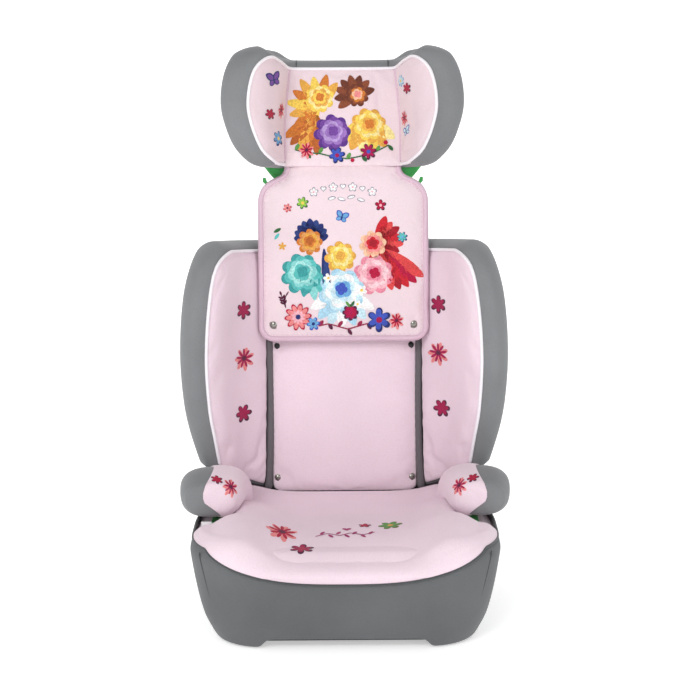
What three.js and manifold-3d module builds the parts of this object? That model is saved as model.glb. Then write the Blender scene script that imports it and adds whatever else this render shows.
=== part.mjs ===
// Child's booster seat: a covered base with armrests, a winged backrest that reclines on a rod,
// and a winged headrest that slides up the backrest and carries a padded apron.
// Millimetres, +Z up, the sitter faces -Y, +X to the right seen from the front.

import * as THREE from 'three';
import { mergeVertices } from 'three/addons/utils/BufferGeometryUtils.js';
import Module from 'manifold-3d';

const wasm = await Module();
wasm.setup();

// ---------------------------------------------------------------- driving dimensions
const GAP = 0.35; // clearance left between neighbouring pieces
const CLOTH = 3; // thickness of a laminated fabric cover
const WALL = 4; // wall of the moulded plastic shells
const SMALLEST = 0.15; // detail below this is dropped from a finished solid
const CENTRE_Y = 15.46; // shift that puts the middle of the depth on Y = 0

const RECLINE = THREE.MathUtils.degToRad(7); // lean of the backrest at rest
const PIVOT = { y: 150, z: 75, rod: 4, halfLength: 112 };

const BASE = { foot: 4, deck: 104, rear: 166, top: 131, archHalf: 130, archHeight: 12 };
const CUSHION = { rear: 112, dish: 134, slotTop: 133, armInner: 152, armFront: -94 };

const BACK = { plateFront: -34, halfPlate: 118, bottom: 40, top: 412, ribRear: -8 };
const PAD = { half: 113, bottom: 64, top: 424, front: -53 };
const FLAP = { half: 123, neck: 84, bottom: 280, top: 526, front: -83, back: -66, corner: 22 };

const HEAD = { bottom: 531, top: 698, rear: -14, dip: 11 };
const STEM = { half: 48, front: -25, rear: -17, bottom: 292 };
const RAIL = { inner: 52, outer: 72, rear: -4, bottom: 150, top: 404, pitch: 20, notch: 7.4 };
const LOCK = { z: 340, y: -0.5, r: 3, travel: 6, half: 76 };

// ---------------------------------------------------------------- colours
const look = (hex, roughness = 0.9, metalness = 0) =>
  new THREE.MeshStandardMaterial({ color: hex, roughness, metalness });
const PINK = () => look(0xe6d0dc);
const GREY = () => look(0x858789);
const DARK = () => look(0x3a3b3e, 0.6);
const FOAM = () => look(0xe9e4d2);
const GREEN = () => look(0x3f9a55, 0.45);
const WHITE = () => look(0xf1ecf0);
const STEEL = () => look(0xb9bcc0, 0.3, 1);

// ---------------------------------------------------------------- solids
const group = new THREE.Group();
group.name = 'booster_seat';

// Smooth interpolation of rows [key, a, b, ...] at a key, one value per column.
function station(rows, key) {
  const last = rows.length - 1;
  let i = 0;
  while (i < last - 1 && key > rows[i + 1][0]) i += 1;
  const t = THREE.MathUtils.clamp((key - rows[i][0]) / (rows[i + 1][0] - rows[i][0]), 0, 1);
  const slope = (k, c) => {
    const lo = Math.max(0, k - 1);
    const hi = Math.min(last, k + 1);
    return (rows[hi][c] - rows[lo][c]) / (rows[hi][0] - rows[lo][0]);
  };
  const span = rows[i + 1][0] - rows[i][0];
  return rows[i].map((_, c) => {
    const a = rows[i][c];
    const b = rows[i + 1][c];
    const h = t * t * (3 - 2 * t);
    const bend = (t * (1 - t) * (1 - t) * slope(i, c) - t * t * (1 - t) * slope(i + 1, c)) * span;
    return a + (b - a) * h + bend;
  });
}

// Triangles across a ring that runs out along one side and back along the other.
function ladder(n) {
  const faces = [];
  for (let i = 0; i < n / 2 - 1; i += 1) {
    faces.push([i, i + 1, n - 2 - i], [i, n - 2 - i, n - 1 - i]);
  }
  return faces;
}

// Triangles across a ring seen flat, wound the way the ring runs.
function fill(ring, flat) {
  const outline = ring.map((p) => new THREE.Vector2(...flat(p)));
  const faces = THREE.ShapeUtils.triangulateShape(outline, []);
  return THREE.ShapeUtils.isClockWise(outline) ? faces.map(([a, b, c]) => [c, b, a]) : faces;
}

// Closed skin through equal-length rings of [x, y, z]; the end rings are capped. Without a
// flat view the rings are out-and-back ones and are capped as ladders.
function loft(rings, flat) {
  const n = rings[0].length;
  const last = rings.length - 1;
  const index = [];
  for (let k = 0; k < last; k += 1) {
    for (let i = 0; i < n; i += 1) {
      const j = (i + 1) % n;
      index.push(k * n + i, k * n + j, (k + 1) * n + j, k * n + i, (k + 1) * n + j, (k + 1) * n + i);
    }
  }
  const cap = (ring) => (flat ? fill(ring, flat) : ladder(n));
  for (const [a, b, c] of cap(rings[0])) index.push(c, b, a);
  for (const [a, b, c] of cap(rings[last])) index.push(last * n + a, last * n + b, last * n + c);
  const geometry = new THREE.BufferGeometry();
  geometry.setAttribute('position', new THREE.Float32BufferAttribute(rings.flat(2), 3));
  geometry.setIndex(index);
  return geometry;
}
const fromAbove = (p) => [p[0], p[1]];
const fromFront = (p) => [p[0], p[2]];

function volumeOf(geometry) {
  const p = geometry.getAttribute('position');
  const ix = geometry.getIndex();
  const [a, b, c] = [new THREE.Vector3(), new THREE.Vector3(), new THREE.Vector3()];
  let sum = 0;
  for (let i = 0; i < ix.count; i += 3) {
    a.fromBufferAttribute(p, ix.getX(i));
    b.fromBufferAttribute(p, ix.getX(i + 1));
    c.fromBufferAttribute(p, ix.getX(i + 2));
    sum += a.dot(b.cross(c)) / 6;
  }
  return sum;
}

// Manifold solid from a three.js geometry.
function solid(source) {
  const bare = source.clone();
  bare.deleteAttribute('normal');
  bare.deleteAttribute('uv');
  const geometry = mergeVertices(bare, 1e-4);
  const triVerts = Uint32Array.from(geometry.getIndex().array);
  if (volumeOf(geometry) < 0) {
    for (let i = 0; i < triVerts.length; i += 3) {
      [triVerts[i], triVerts[i + 1]] = [triVerts[i + 1], triVerts[i]];
    }
  }
  const vertProperties = Float32Array.from(geometry.getAttribute('position').array);
  return new wasm.Manifold(new wasm.Mesh({ numProp: 3, vertProperties, triVerts }));
}

// The largest single body of a solid, as a geometry.
function geometryOf(shape) {
  const parts = shape.decompose().sort((a, b) => b.volume() - a.volume());
  const mesh = parts[0].simplify(SMALLEST).getMesh();
  const geometry = new THREE.BufferGeometry();
  geometry.setAttribute('position', new THREE.Float32BufferAttribute(mesh.vertProperties, 3));
  geometry.setIndex(new THREE.BufferAttribute(mesh.triVerts, 1));
  return geometry;
}

const intoBack = new THREE.Matrix4()
  .makeTranslation(0, PIVOT.y, PIVOT.z)
  .multiply(new THREE.Matrix4().makeRotationX(-RECLINE));

// Adds a named piece; frame 'back' places it in the leaning frame of the backrest.
function piece(name, shape, material, frame = 'seat') {
  const geometry = geometryOf(shape);
  if (frame === 'back') geometry.applyMatrix4(intoBack);
  geometry.translate(0, -CENTRE_Y, 0);
  const flat = geometry.toNonIndexed();
  flat.computeVertexNormals();
  const mesh = new THREE.Mesh(mergeVertices(flat), material);
  mesh.name = name;
  group.add(mesh);
}

const mirrored = (shape) => shape.mirror([1, 0, 0]);

// A whole made of the right half of a shape and the mirror image of that half.
function evened(shape) {
  const right = shape.intersect(box([0, 400], [-400, 400], [-10, 900]));
  return right.add(mirrored(right));
}

// Adds a right-hand piece and its left-hand mirror image.
function pair(name, shape, material, frame) {
  piece(`${name}_right`, shape, material(), frame);
  piece(`${name}_left`, mirrored(shape), material(), frame);
}

function box(x, y, z) {
  const geometry = new THREE.BoxGeometry(x[1] - x[0], y[1] - y[0], z[1] - z[0]);
  return solid(geometry.translate((x[0] + x[1]) / 2, (y[0] + y[1]) / 2, (z[0] + z[1]) / 2));
}

// Round bar along an axis ('x', 'y' or 'z') between two ends.
function rod(axis, radius, from, to, at, sides = 16) {
  const geometry = new THREE.CylinderGeometry(radius, radius, to - from, sides);
  const mid = (from + to) / 2;
  if (axis === 'x') geometry.rotateZ(Math.PI / 2).translate(mid, at[0], at[1]);
  if (axis === 'y') geometry.translate(at[0], mid, at[1]);
  if (axis === 'z') geometry.rotateX(Math.PI / 2).translate(at[0], at[1], mid);
  return solid(geometry);
}

// Outline in the YZ plane swept along X.
function sweepX(points, x0, x1) {
  const shape = new THREE.Shape(points.map((p) => new THREE.Vector2(...p)));
  const geometry = new THREE.ExtrudeGeometry(shape, { depth: x1 - x0, bevelEnabled: false });
  return solid(geometry.applyMatrix4(new THREE.Matrix4().set(
    0, 0, 1, x0,
    1, 0, 0, 0,
    0, 1, 0, 0,
    0, 0, 0, 1,
  )));
}

// Outline in the XZ plane swept along Y.
function sweepY(points, y0, y1) {
  const shape = new THREE.Shape(points.map((p) => new THREE.Vector2(...p)));
  const geometry = new THREE.ExtrudeGeometry(shape, { depth: y1 - y0, bevelEnabled: false });
  return solid(geometry.rotateX(Math.PI / 2).translate(0, y1, 0));
}

function circle(cy, cz, r, n = 16) {
  return Array.from({ length: n }, (_, i) => {
    const a = (i / n) * 2 * Math.PI;
    return [cy + r * Math.cos(a), cz + r * Math.sin(a)];
  });
}

// Round cord through points, closed at both ends.
function cord(points, radius, steps, sides = 6) {
  const path = new THREE.CatmullRomCurve3(points.map((p) => new THREE.Vector3(...p)));
  const shape = new THREE.Shape(circle(0, 0, radius, sides).map((p) => new THREE.Vector2(...p)));
  return solid(new THREE.ExtrudeGeometry(shape, { steps, extrudePath: path, bevelEnabled: false }));
}

// Moves each ring point inward, in the ring's own plane.
function inset(ring, distance) {
  const n = ring.length;
  return ring.map(([x, y, z], i) => {
    const [ax, ay] = ring[(i + n - 1) % n];
    const [bx, by] = ring[(i + 1) % n];
    const length = Math.hypot(bx - ax, by - ay) || 1;
    return [x - ((by - ay) / length) * distance, y + ((bx - ax) / length) * distance, z];
  });
}

// Point reached from ring point k by going some millimetres towards its neighbour.
function beyond(ring, k, step, distance) {
  const n = ring.length;
  const a = new THREE.Vector3(...ring[(k + n) % n]);
  const b = new THREE.Vector3(...ring[(k + step + n) % n]);
  return a.add(b.sub(a).setLength(distance)).toArray();
}

// Out-and-back ring along points first..last of two outlines; each end is carried on by the
// distances given in ends.
function strip(outer, inner, first, last, ends) {
  const n = outer.length;
  const row = (ring) => {
    const points = [];
    for (let k = first; k <= last; k += 1) points.push(ring[(k + n) % n]);
    if (ends[0]) points[0] = beyond(ring, first, -1, ends[0]);
    if (ends[1]) points[points.length - 1] = beyond(ring, last, 1, ends[1]);
    return points;
  };
  return [...row(outer), ...row(inner).reverse()];
}

// ---------------------------------------------------------------- base
// Half width and front edge of the covered base against height.
const BASE_ROWS = [
  [2, 177, -186],
  [14, 183, -191],
  [37, 193, -198],
  [81, 203, -205],
  [BASE.top, 211, -207],
];

function planRing(half, front, rear, frontRadius, rearRadius, z) {
  const ring = [];
  const corners = [
    [half - rearRadius, rear - rearRadius, rearRadius, 0],
    [-half + rearRadius, rear - rearRadius, rearRadius, 1],
    [-half + frontRadius, front + frontRadius, frontRadius, 2],
    [half - frontRadius, front + frontRadius, frontRadius, 3],
  ];
  for (const [cx, cy, r, quarter] of corners) {
    for (let k = 0; k <= 3; k += 1) {
      const a = ((quarter + k / 3) * Math.PI) / 2;
      ring.push([cx + r * Math.cos(a), cy + r * Math.sin(a), z]);
    }
  }
  return ring;
}

function baseRing(z, skin, rear) {
  const [, half, front] = station(BASE_ROWS, z);
  return planRing(half - skin, front + skin, rear - skin, 78 - skin, 24, z);
}

const baseBody = (skin, rear, levels) => solid(loft(levels.map((z) => baseRing(z, skin, rear)), fromAbove));

// Height of the sitting surface: a dish with raised thigh bolsters and a rolled front.
function seatHeight(x, y) {
  const side = Math.exp(-(((Math.abs(x) - 150) / 44) ** 2));
  const forward = THREE.MathUtils.smoothstep(-y, -60, 60);
  const rise = 8 * THREE.MathUtils.smoothstep(y, 20, 90);
  const roll = 16 * THREE.MathUtils.smoothstep(-y, 130, 205);
  return CUSHION.dish + rise + (10 + 22 * forward) * side - roll;
}

// Cushion body: straight sides up to the edge, then rings closing over the sitting surface.
function cushionBody(skin, floor) {
  const sides = [floor, 81, BASE.deck, BASE.top - skin].filter((z, k) => k === 0 || z > floor);
  const rings = sides.map((z) => baseRing(z, skin, CUSHION.rear));
  const [edge] = rings.slice(-1);
  for (const scale of [0.985, 0.93, 0.83, 0.68, 0.48, 0.24]) {
    rings.push(edge.map(([x, y]) => {
      const px = x * scale;
      const py = -48 + (y + 48) * scale;
      const round = THREE.MathUtils.smoothstep(1 - scale, -0.01, 0.13);
      const top = Math.max(BASE.top, seatHeight(px, py)) * round + BASE.top * (1 - round);
      return [px, py, top - skin + 0.4];
    }));
  }
  return solid(loft(rings, fromAbove));
}

// Armrest: a limb that leaves the rear corner of the base and reaches forward over the belt slot.
const ARM_ROWS = [
  [0, 166, 88, 66, 28, 22, 1.2],
  [1, 170, 66, 120, 36, 30, 0.75],
  [2, 178, 34, 152, 43, 30, 0.35],
  [3, 184, 2, 172, 46, 30, 0.12],
  [4, 186, -36, 179, 44, 31, 0],
  [5, 186, -66, 178, 40, 29, -0.05],
  [6, 186, -84, 177, 30, 21, -0.1],
  [6.6, 186, -90, 176.5, 16, 11, -0.1],
];

function armLimb(skin) {
  const stops = [0, 0.6, 1.2, 2, 3, 4, 5, 5.6, 6, 6.6];
  return solid(loft(stops.map((t) => {
    const [, cx, cy, cz, hx, hz, lean] = station(ARM_ROWS, t);
    const ring = [];
    for (let k = 0; k < 14; k += 1) {
      const a = (k / 14) * 2 * Math.PI;
      const round = (v) => Math.sign(v) * Math.abs(v) ** 0.78;
      const u = Math.max(hx - skin, 1.5) * round(Math.cos(a));
      const v = Math.max(hz - skin, 1) * round(Math.sin(a));
      const pull = t > 5.9 ? skin * 0.9 : 0;
      ring.push([cx + u, cy + pull + v * Math.sin(lean), cz + v * Math.cos(lean)]);
    }
    return ring;
  }), fromFront));
}

// Space kept free beside the cushion for the armrest and the lap-belt slot below it.
function armSpace(extra) {
  const slot = box(
    [CUSHION.armInner - extra, 260],
    [CUSHION.armFront - extra, 200],
    [CUSHION.slotTop - extra, 300],
  );
  return slot.add(armLimb(-extra - 1));
}
const bothSides = (shape) => shape.add(mirrored(shape));

// The seam between the grey skirt and the sitting panel dips towards the middle of the front.
function belowSeam(drop) {
  const points = [[-260, -20], [260, -20]];
  for (let x = 260; x >= -260; x -= 26) {
    const t = Math.min(1, Math.abs(x) / 198);
    points.push([x, 95 + 33 * t * t - drop]);
  }
  return sweepY(points, -260, 260);
}

const archPoints = [
  [-BASE.archHalf - 16, -10],
  [BASE.archHalf + 16, -10],
  [BASE.archHalf + 12, 0],
  [BASE.archHalf - 6, BASE.archHeight],
  [-BASE.archHalf + 6, BASE.archHeight],
  [-BASE.archHalf - 12, 0],
];
const arch = sweepY(archPoints, -260, -150);

const skirtLevels = [2, 14, 37, 81, BASE.deck, BASE.top];
const shellLevels = [BASE.foot, 14, 37, 81, BASE.deck];

function buildBase() {
  const shellSkin = CLOTH + GAP;
  const outer = baseBody(shellSkin, BASE.rear + shellSkin, shellLevels);
  const hollowLevels = [-6, 14, 37, 81, BASE.deck - WALL];
  const hollow = baseBody(shellSkin + WALL, BASE.rear, hollowLevels);
  const ribs = [-110, 0, 110]
    .map((x) => box([x - 1.5, x + 1.5], [-250, 250], [22, 130]))
    .concat([-90, 30].map((y) => box([-250, 250], [y - 1.5, y + 1.5], [22, 130])))
    .reduce((all, rib) => all.add(rib));
  const pocketWall = box([54, 106], [122.4, 200], [40, 130]);
  const boss = rod('x', 11, 100, PIVOT.halfLength + 3, [PIVOT.y, PIVOT.z]);
  const pocket = box([58, 102], [127, 240], [44, 200]);
  const rodHole = rod('x', PIVOT.rod + 0.3, -PIVOT.halfLength - 0.5, PIVOT.halfLength + 0.5,
    [PIVOT.y, PIVOT.z]);
  const room = hollow.subtract(ribs).subtract(bothSides(pocketWall.add(boss)));
  const limbCore = armLimb(CLOTH + 2 + GAP).intersect(box([0, 260], [-260, 260], [72, 400]));
  const limbHollow = armLimb(CLOTH + 2 + GAP + WALL).intersect(box([0, 260], [-260, 260], [60, 400]));
  const shell = outer.subtract(room)
    .add(bothSides(limbCore))
    .subtract(bothSides(limbHollow.add(pocket)))
    .subtract(arch)
    .subtract(rodHole);
  piece('base_shell', shell, DARK());

  const space = bothSides(armSpace(0));
  const wideSpace = bothSides(armSpace(CLOTH + GAP));
  const cushion = cushionBody(0, 60).subtract(space);
  const foamBody = cushionBody(CLOTH + GAP, BASE.deck + GAP).subtract(wideSpace);
  const coverHollow = cushionBody(CLOTH, 40).subtract(bothSides(armSpace(CLOTH)));
  const shellRoom = baseBody(CLOTH, BASE.rear + CLOTH, [0, 14, 37, 81, BASE.deck + GAP]);
  const coverSkin = cushion.subtract(coverHollow).subtract(shellRoom);
  const rearOpen = box([-170, 170], [CUSHION.rear - 8, 200], [0, BASE.deck + 12]);
  piece('seat_foam', foamBody, FOAM());
  piece('seat_cover', coverSkin.subtract(belowSeam(0)).subtract(rearOpen), PINK());

  const skirtOuter = baseBody(0, BASE.rear - 30, skirtLevels);
  const skirtHollow = baseBody(CLOTH, BASE.rear + 60, [0, 14, 37, 81, BASE.deck, BASE.top, BASE.top + 3]);
  const skirt = skirtOuter.subtract(skirtHollow).intersect(belowSeam(GAP)).subtract(arch);
  piece('seat_skirt', skirt, GREY());

  const limb = armLimb(0);
  const cover = limb
    .subtract(armLimb(CLOTH + 2))
    .subtract(baseBody(-GAP, BASE.rear + 8, [0, 14, 37, 81, BASE.deck, BASE.top]))
    .subtract(cushionBody(-GAP, 60).intersect(box([-152, 152], [-260, 200], [0, 400])));
  const capSide = box([193.8 + GAP, 260], [-260, 260], [0, 400]);
  const innerSide = box([0, 193.8], [-260, 260], [0, 400]);
  pair('armrest_cap', cover.intersect(capSide), GREY);
  pair('armrest_panel', cover.intersect(innerSide), PINK);
}

// Belt hook under the front of each armrest.
function buildLapGuides() {
  const outline = [
    [-60, 133.4], [-12, 133.4], [-9, 136], [-9, 138.4], [-13, 136.2], [-54, 136.2], [-60, 139],
  ];
  pair('lap_belt_guide', sweepX(outline, 154, 186), GREEN);
}

function buildBaseTrim() {
  piece('pivot_rod', rod('x', PIVOT.rod, -PIVOT.halfLength, PIVOT.halfLength,
    [PIVOT.y, PIVOT.z]), STEEL());
  for (const [where, y] of [['front', -118], ['rear', 128]]) {
    pair(`foot_${where}`, rod('z', 13, 0, BASE.foot - 0.3, [y < 0 ? 128 : 150, y]), DARK);
  }
  const label = box([-197, -183], [-93.2, -92.6], [133.6, 150]);
  piece('care_label', label, WHITE());
}

// ---------------------------------------------------------------- backrest
// Against height: seam x, seam y, outermost x and its y.
const WING_ROWS = [
  [105, 177, -124, 206, -116],
  [157, 184, -150, 219, -142],
  [200, 190, -171, 226, -158],
  [270, 193, -184, 229.5, -169],
  [350, 187, -188, 224, -171],
  [397, 177, -178, 213, -160],
  [427, 162, -146, 199, -140],
];
const WING = { bottom: 105, top: 427, rootBottom: 64, root: BACK.halfPlate };
const WING_LEVELS = [WING.bottom, 118, 157, 200, 270, 350, 385, 408, WING.top];
const WING_STOPS = [0, 0.0625, 0.125, 0.1875, 0.25, 0.3125, 0.375, 0.4375, 0.5, 0.625, 0.75, 0.85,
  0.93, 1];
const WING_LAST = WING_STOPS.length - 1;
const WING_SEAM = 4;
const PAST_SEAM = 1.9;

// Section of the right wing at a rim height, as smooth points; the first ones run along the
// sitter's side from the root to the seam, the others round the rim and back along the outside.
function wingRing(level, distance) {
  const [, xp, yp, xo, yo] = station(WING_ROWS, level);
  const knots = [
    [WING.root, -50],
    [WING.root + (xp - WING.root) * 0.5, -50 + (yp + 50) * 0.4],
    [xp, yp],
    [(xp + xo) / 2 + 3, Math.min(yp, yo) - 7],
    [xo, yo],
    [xo - 3, yo * 0.62],
    [Math.min(xo - 22, 192), -16],
    [Math.min(xo - 44, 172), -9],
    [WING.root, -9],
  ].map((p) => new THREE.Vector3(...p, 0));
  const curve = new THREE.CatmullRomCurve3(knots, false, 'centripetal');
  const moved = inset(WING_STOPS.map((t) => curve.getPoint(t).toArray()), distance);
  moved[0] = [WING.root, -50 + distance, 0];
  moved[WING_LAST] = [WING.root, -9 - distance, 0];
  const share = (level - WING.bottom) / (WING.top - WING.bottom);
  return moved.map(([x, y]) => {
    const out = THREE.MathUtils.clamp((x - WING.root) / (xo - WING.root), 0, 1);
    const low = WING.rootBottom + (WING.bottom - WING.rootBottom) * out;
    return [x, y, low + (WING.top - low) * share];
  });
}

function wingBody(distance) {
  const ends = Math.max(distance, 0);
  return solid(loft(WING_LEVELS.map((height, k) => {
    const edge = k === 0 || k === WING_LEVELS.length - 1;
    const level = THREE.MathUtils.clamp(height, WING.bottom + ends, WING.top - ends);
    return wingRing(level, edge ? Math.max(distance, Math.min(distance + 7, 10)) : distance);
  })));
}

// Strip lying along part of the wing outline between two depths below its surface.
function wingStrip(first, last, depthA, depthB, ends, over = 0) {
  const beyondEnds = over ? [WING.bottom - over, WING.top + over] : [];
  const levels = [...WING_LEVELS, ...beyondEnds].sort((a, b) => a - b);
  return solid(loft(levels.map((level) =>
    strip(wingRing(level, depthA), wingRing(level, depthB), first, last, ends))));
}

function buildBackrest() {
  const plate = box([-BACK.halfPlate, BACK.halfPlate], [BACK.plateFront, BACK.plateFront + WALL],
    [BACK.bottom, BACK.top]);
  const skin = CLOTH + GAP;
  const wallRoom = wingBody(skin).add(box([100, WING.root], [-60, 0], [30, 430]));
  const wall = wingStrip(7, WING_LAST, skin, skin + WALL, [0, 0])
    .add(box([108, 122], [BACK.plateFront, -13], [70, BACK.top]))
    .intersect(wallRoom);
  const rib = (z) => box([-112, 112], [BACK.plateFront, BACK.ribRear], [z, z + 3]);
  const frame = [BACK.bottom, 96, BACK.top - 3].map(rib)
    .concat([84, -87].map((x) => box([x, x + 3], [BACK.plateFront, BACK.ribRear],
      [BACK.bottom, BACK.top])))
    .reduce((all, next) => all.add(next));
  const channel = box([-RAIL.outer - 1, RAIL.outer + 1], [BACK.plateFront + WALL, 40], [110, 500]);
  let shell = plate.add(bothSides(wall)).add(frame.subtract(channel));
  const trim = box([-260, 260], [-200, 40], [BACK.bottom, 500]);
  shell = shell.intersect(trim);
  piece('back_shell', shell, DARK(), 'back');

  const full = wingBody(0);
  const skinOnly = full.subtract(wingBody(CLOTH));
  const rootCut = box([0, WING.root + GAP], [-200, 40], [0, 500]);
  const pinkZone = wingStrip(0, WING_SEAM, 9, -22, [0, PAST_SEAM], 14);
  const pinkZoneWide = wingStrip(0, WING_SEAM, 9 + GAP, -22.5, [0, PAST_SEAM + GAP], 14.5);
  pair('wing_panel', skinOnly.intersect(pinkZone).subtract(rootCut), PINK, 'back');
  const rearWindow = box([100, 166.3], [-22.7, 40], [30, WING.top - 13.4]);
  pair('wing_cover', skinOnly.subtract(pinkZoneWide).subtract(rootCut).subtract(rearWindow),
    GREY, 'back');
  const foam = wingBody(skin).subtract(wingStrip(6, WING_LAST, -2, skin + WALL + GAP, [0.7, 0], 20));
  pair('wing_foam', foam.subtract(box([0, 123], [-200, 40], [0, 500])), FOAM, 'back');

  const seam = [112, 157, 200, 235, 270, 310, 350, 378, 397, 410, 419].map((level) => {
    const [x, y, z] = wingRing(level, -2.9)[WING_SEAM];
    return [x, y, z];
  });
  pair('wing_piping', cord(seam, 2.1, 22), WHITE, 'back');

  const padRing = (skinDepth) => {
    const half = PAD.half - skinDepth;
    const levels = [
      [BACK.plateFront - GAP, 0],
      [PAD.front + 6, 0],
      [PAD.front + 2 + skinDepth, 2],
      [PAD.front + skinDepth, 7],
    ];
    return solid(loft(levels.map(([y, pull]) => {
      const h = half - pull;
      const low = PAD.bottom + skinDepth + pull;
      const high = PAD.top - skinDepth - pull;
      return [[h, y, low], [h, y, high], [-h, y, high], [-h, y, low]];
    }), fromFront));
  };
  const padBack = box([-200, 200], [BACK.plateFront - GAP - 0.2, 0], [0, 500]);
  const padCover = padRing(0).subtract(padRing(CLOTH)
    .add(box([-PAD.half + CLOTH, PAD.half - CLOTH], [PAD.front + 6, 0],
      [PAD.bottom + CLOTH, PAD.top - CLOTH])));
  const edgeZone = box([PAD.half - 8, 200], [-100, 0], [0, 500]);
  const bindZone = box([PAD.half - 8 + GAP, 200], [-100, 0], [0, 500]);
  piece('back_pad_foam', padRing(CLOTH + GAP).subtract(padBack), FOAM(), 'back');
  piece('back_pad_cover', padCover.subtract(padBack).subtract(bothSides(edgeZone)), PINK(), 'back');
  pair('pad_binding', padCover.subtract(padBack).intersect(bindZone), GREY, 'back');

  const upper = rod('y', 4.5, PAD.front - GAP - 3, PAD.front - GAP, [97, 272], 12);
  const lower = rod('y', 4.5, PAD.front - GAP - 3, PAD.front - GAP, [98, 76], 12);
  pair('pad_snap_upper', upper, DARK, 'back');
  pair('pad_snap_lower', lower, STEEL, 'back');
}

// Notched rails screwed behind the plate; the headrest stem runs between their lips.
function buildRails() {
  const section = [
    [RAIL.inner, BACK.plateFront + WALL + GAP],
    [RAIL.outer, BACK.plateFront + WALL + GAP],
    [RAIL.outer, RAIL.rear],
    [RAIL.inner + 4, RAIL.rear],
    [RAIL.inner + 4, STEM.rear + 5],
    [RAIL.inner - 12, STEM.rear + 5],
    [RAIL.inner - 12, STEM.rear + 1],
    [RAIL.inner, STEM.rear + 1],
  ];
  const level = (z) => section.map(([x, y]) => [x, y, z]);
  let rail = solid(loft([level(RAIL.bottom), level(RAIL.top)], fromAbove));
  const half = RAIL.notch / 2;
  for (let k = 0; k < 7; k += 1) {
    const z = LOCK.z + RAIL.pitch - k * RAIL.pitch;
    rail = rail.subtract(box([RAIL.inner, RAIL.outer + 1], [RAIL.rear - 6, 10],
      [z - half, z + half]));
  }
  pair('height_rail', rail, DARK, 'back');
  for (const [where, z] of [['top', 386], ['bottom', 170]]) {
    pair(`rail_screw_${where}`, rod('y', 4, RAIL.rear + 0.1, RAIL.rear + 2.6, [64, z], 10),
      STEEL, 'back');
  }
}

// Hooks under the backrest that snap over the rod in the base.
function buildHinge() {
  const outline = [
    [-13, -4], [-13, 6], [-12, 34], [-29.6, 43.4], [-29.6, 92], [-24, 92], [-12, 70], [6, 34],
    [12, 10], [13, 0], [10, -9], [3, -13], [-6, -12],
  ];
  const hook = sweepX(outline, 66, 94).subtract(rod('x', PIVOT.rod + 0.35, 60, 100, [0, 0]));
  const mouth = box([60, 100], [1, 40], [-PIVOT.rod - 12, -PIVOT.rod + 1]);
  const shellRoom = box([80, 90], [-40, 0], [36, 43.4]);
  const ribRoom = box([83.6, 87.4], [-34, 0], [38, 120]);
  const crossRoom = box([-120, 120], [-34, 0], [38, 43.4]);
  pair('hinge_hook', hook.subtract(mouth).subtract(shellRoom).subtract(ribRoom)
    .subtract(crossRoom), DARK, 'back');
}

// ---------------------------------------------------------------- headrest
// Against height: seam x, seam y, outermost x and its y, inner corner x and y.
const HEAD_ROWS = [
  [HEAD.bottom, 96, -139, 126, -130, 82, -84],
  [556, 114, -163, 150, -152, 82, -80],
  [590, 127, -182, 164, -170, 82, -76],
  [618, 131, -187, 169, -175, 80, -73],
  [655, 125, -184, 165, -174, 77, -70],
  [682, 111, -176, 154, -168, 74, -68],
  [HEAD.top, 98, -164, 140, -158, 70, -68],
];
const HEAD_LEVELS = [HEAD.bottom, 543, 560, 590, 618, 655, 678, 690, HEAD.top];
const HEAD_HALF = 15;

// Half section of the headrest from the middle of its face round the rim to the middle of its
// rear; the seam with the grey cover is point 6.
function headHalf(level) {
  const [, xp, yp, xo, yo, xc, yc] = station(HEAD_ROWS, level);
  const faceY = yc + 2;
  const knots = [
    [0, faceY],
    [xc * 0.7, faceY - 1],
    [xc, yc - 6],
    [xc + (xp - xc) * 0.45, yc + (yp - yc) * 0.5],
    [xp, yp],
    [(xp + xo) / 2 + 2, Math.min(yp, yo) - 6],
    [xo, yo],
    [xo - (xo - xc) * 0.3, yo * 0.5],
    [xc + 6, -24],
    [xc * 0.6, HEAD.rear],
    [0, HEAD.rear],
  ].map((p) => new THREE.Vector3(...p, 0));
  const curve = new THREE.CatmullRomCurve3(knots, false, 'centripetal');
  return Array.from({ length: HEAD_HALF + 1 }, (_, k) => curve.getPoint(k / HEAD_HALF));
}
const HEAD_SEAM = 6;

// How far the top of the headrest sinks between its wings.
function headDip(x, level) {
  const between = 1 - THREE.MathUtils.smoothstep(Math.abs(x), 72, 108);
  return HEAD.dip * between * THREE.MathUtils.smoothstep(level, 600, HEAD.top);
}

function headRing(level, distance, z = level) {
  const half = headHalf(level).map((p) => [p.x, p.y, z - headDip(p.x, level)]);
  const left = half.slice(1, -1).reverse().map(([x, y, height]) => [-x, y, height]);
  return inset([...half, ...left], distance);
}

// The same ring started at the tip of the left wing, so that it runs out and back.
function fromTip(ring) {
  const start = ring.length - (HEAD_HALF - 1) / 2;
  return [...ring.slice(start), ...ring.slice(0, start)];
}

function headBody(distance) {
  const ends = Math.max(distance, 0);
  return solid(loft(HEAD_LEVELS.map((level, k) => {
    const z = THREE.MathUtils.clamp(level, HEAD.bottom + ends, HEAD.top - ends);
    const edge = k === 0 || k === HEAD_LEVELS.length - 1;
    const depth = edge ? Math.max(distance, Math.min(distance + 6, 9)) : distance;
    return fromTip(headRing(level, depth, z));
  })));
}

// Strip along the whole face of the headrest from seam to seam, between two depths.
function faceStrip(last, depthA, depthB, past, over = 12) {
  const levels = [HEAD.bottom - over, ...HEAD_LEVELS.slice(1), HEAD.top + over];
  return solid(loft(levels.map((level) =>
    strip(headRing(level, depthA), headRing(level, depthB), -last, last, [past, past]))));
}

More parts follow.
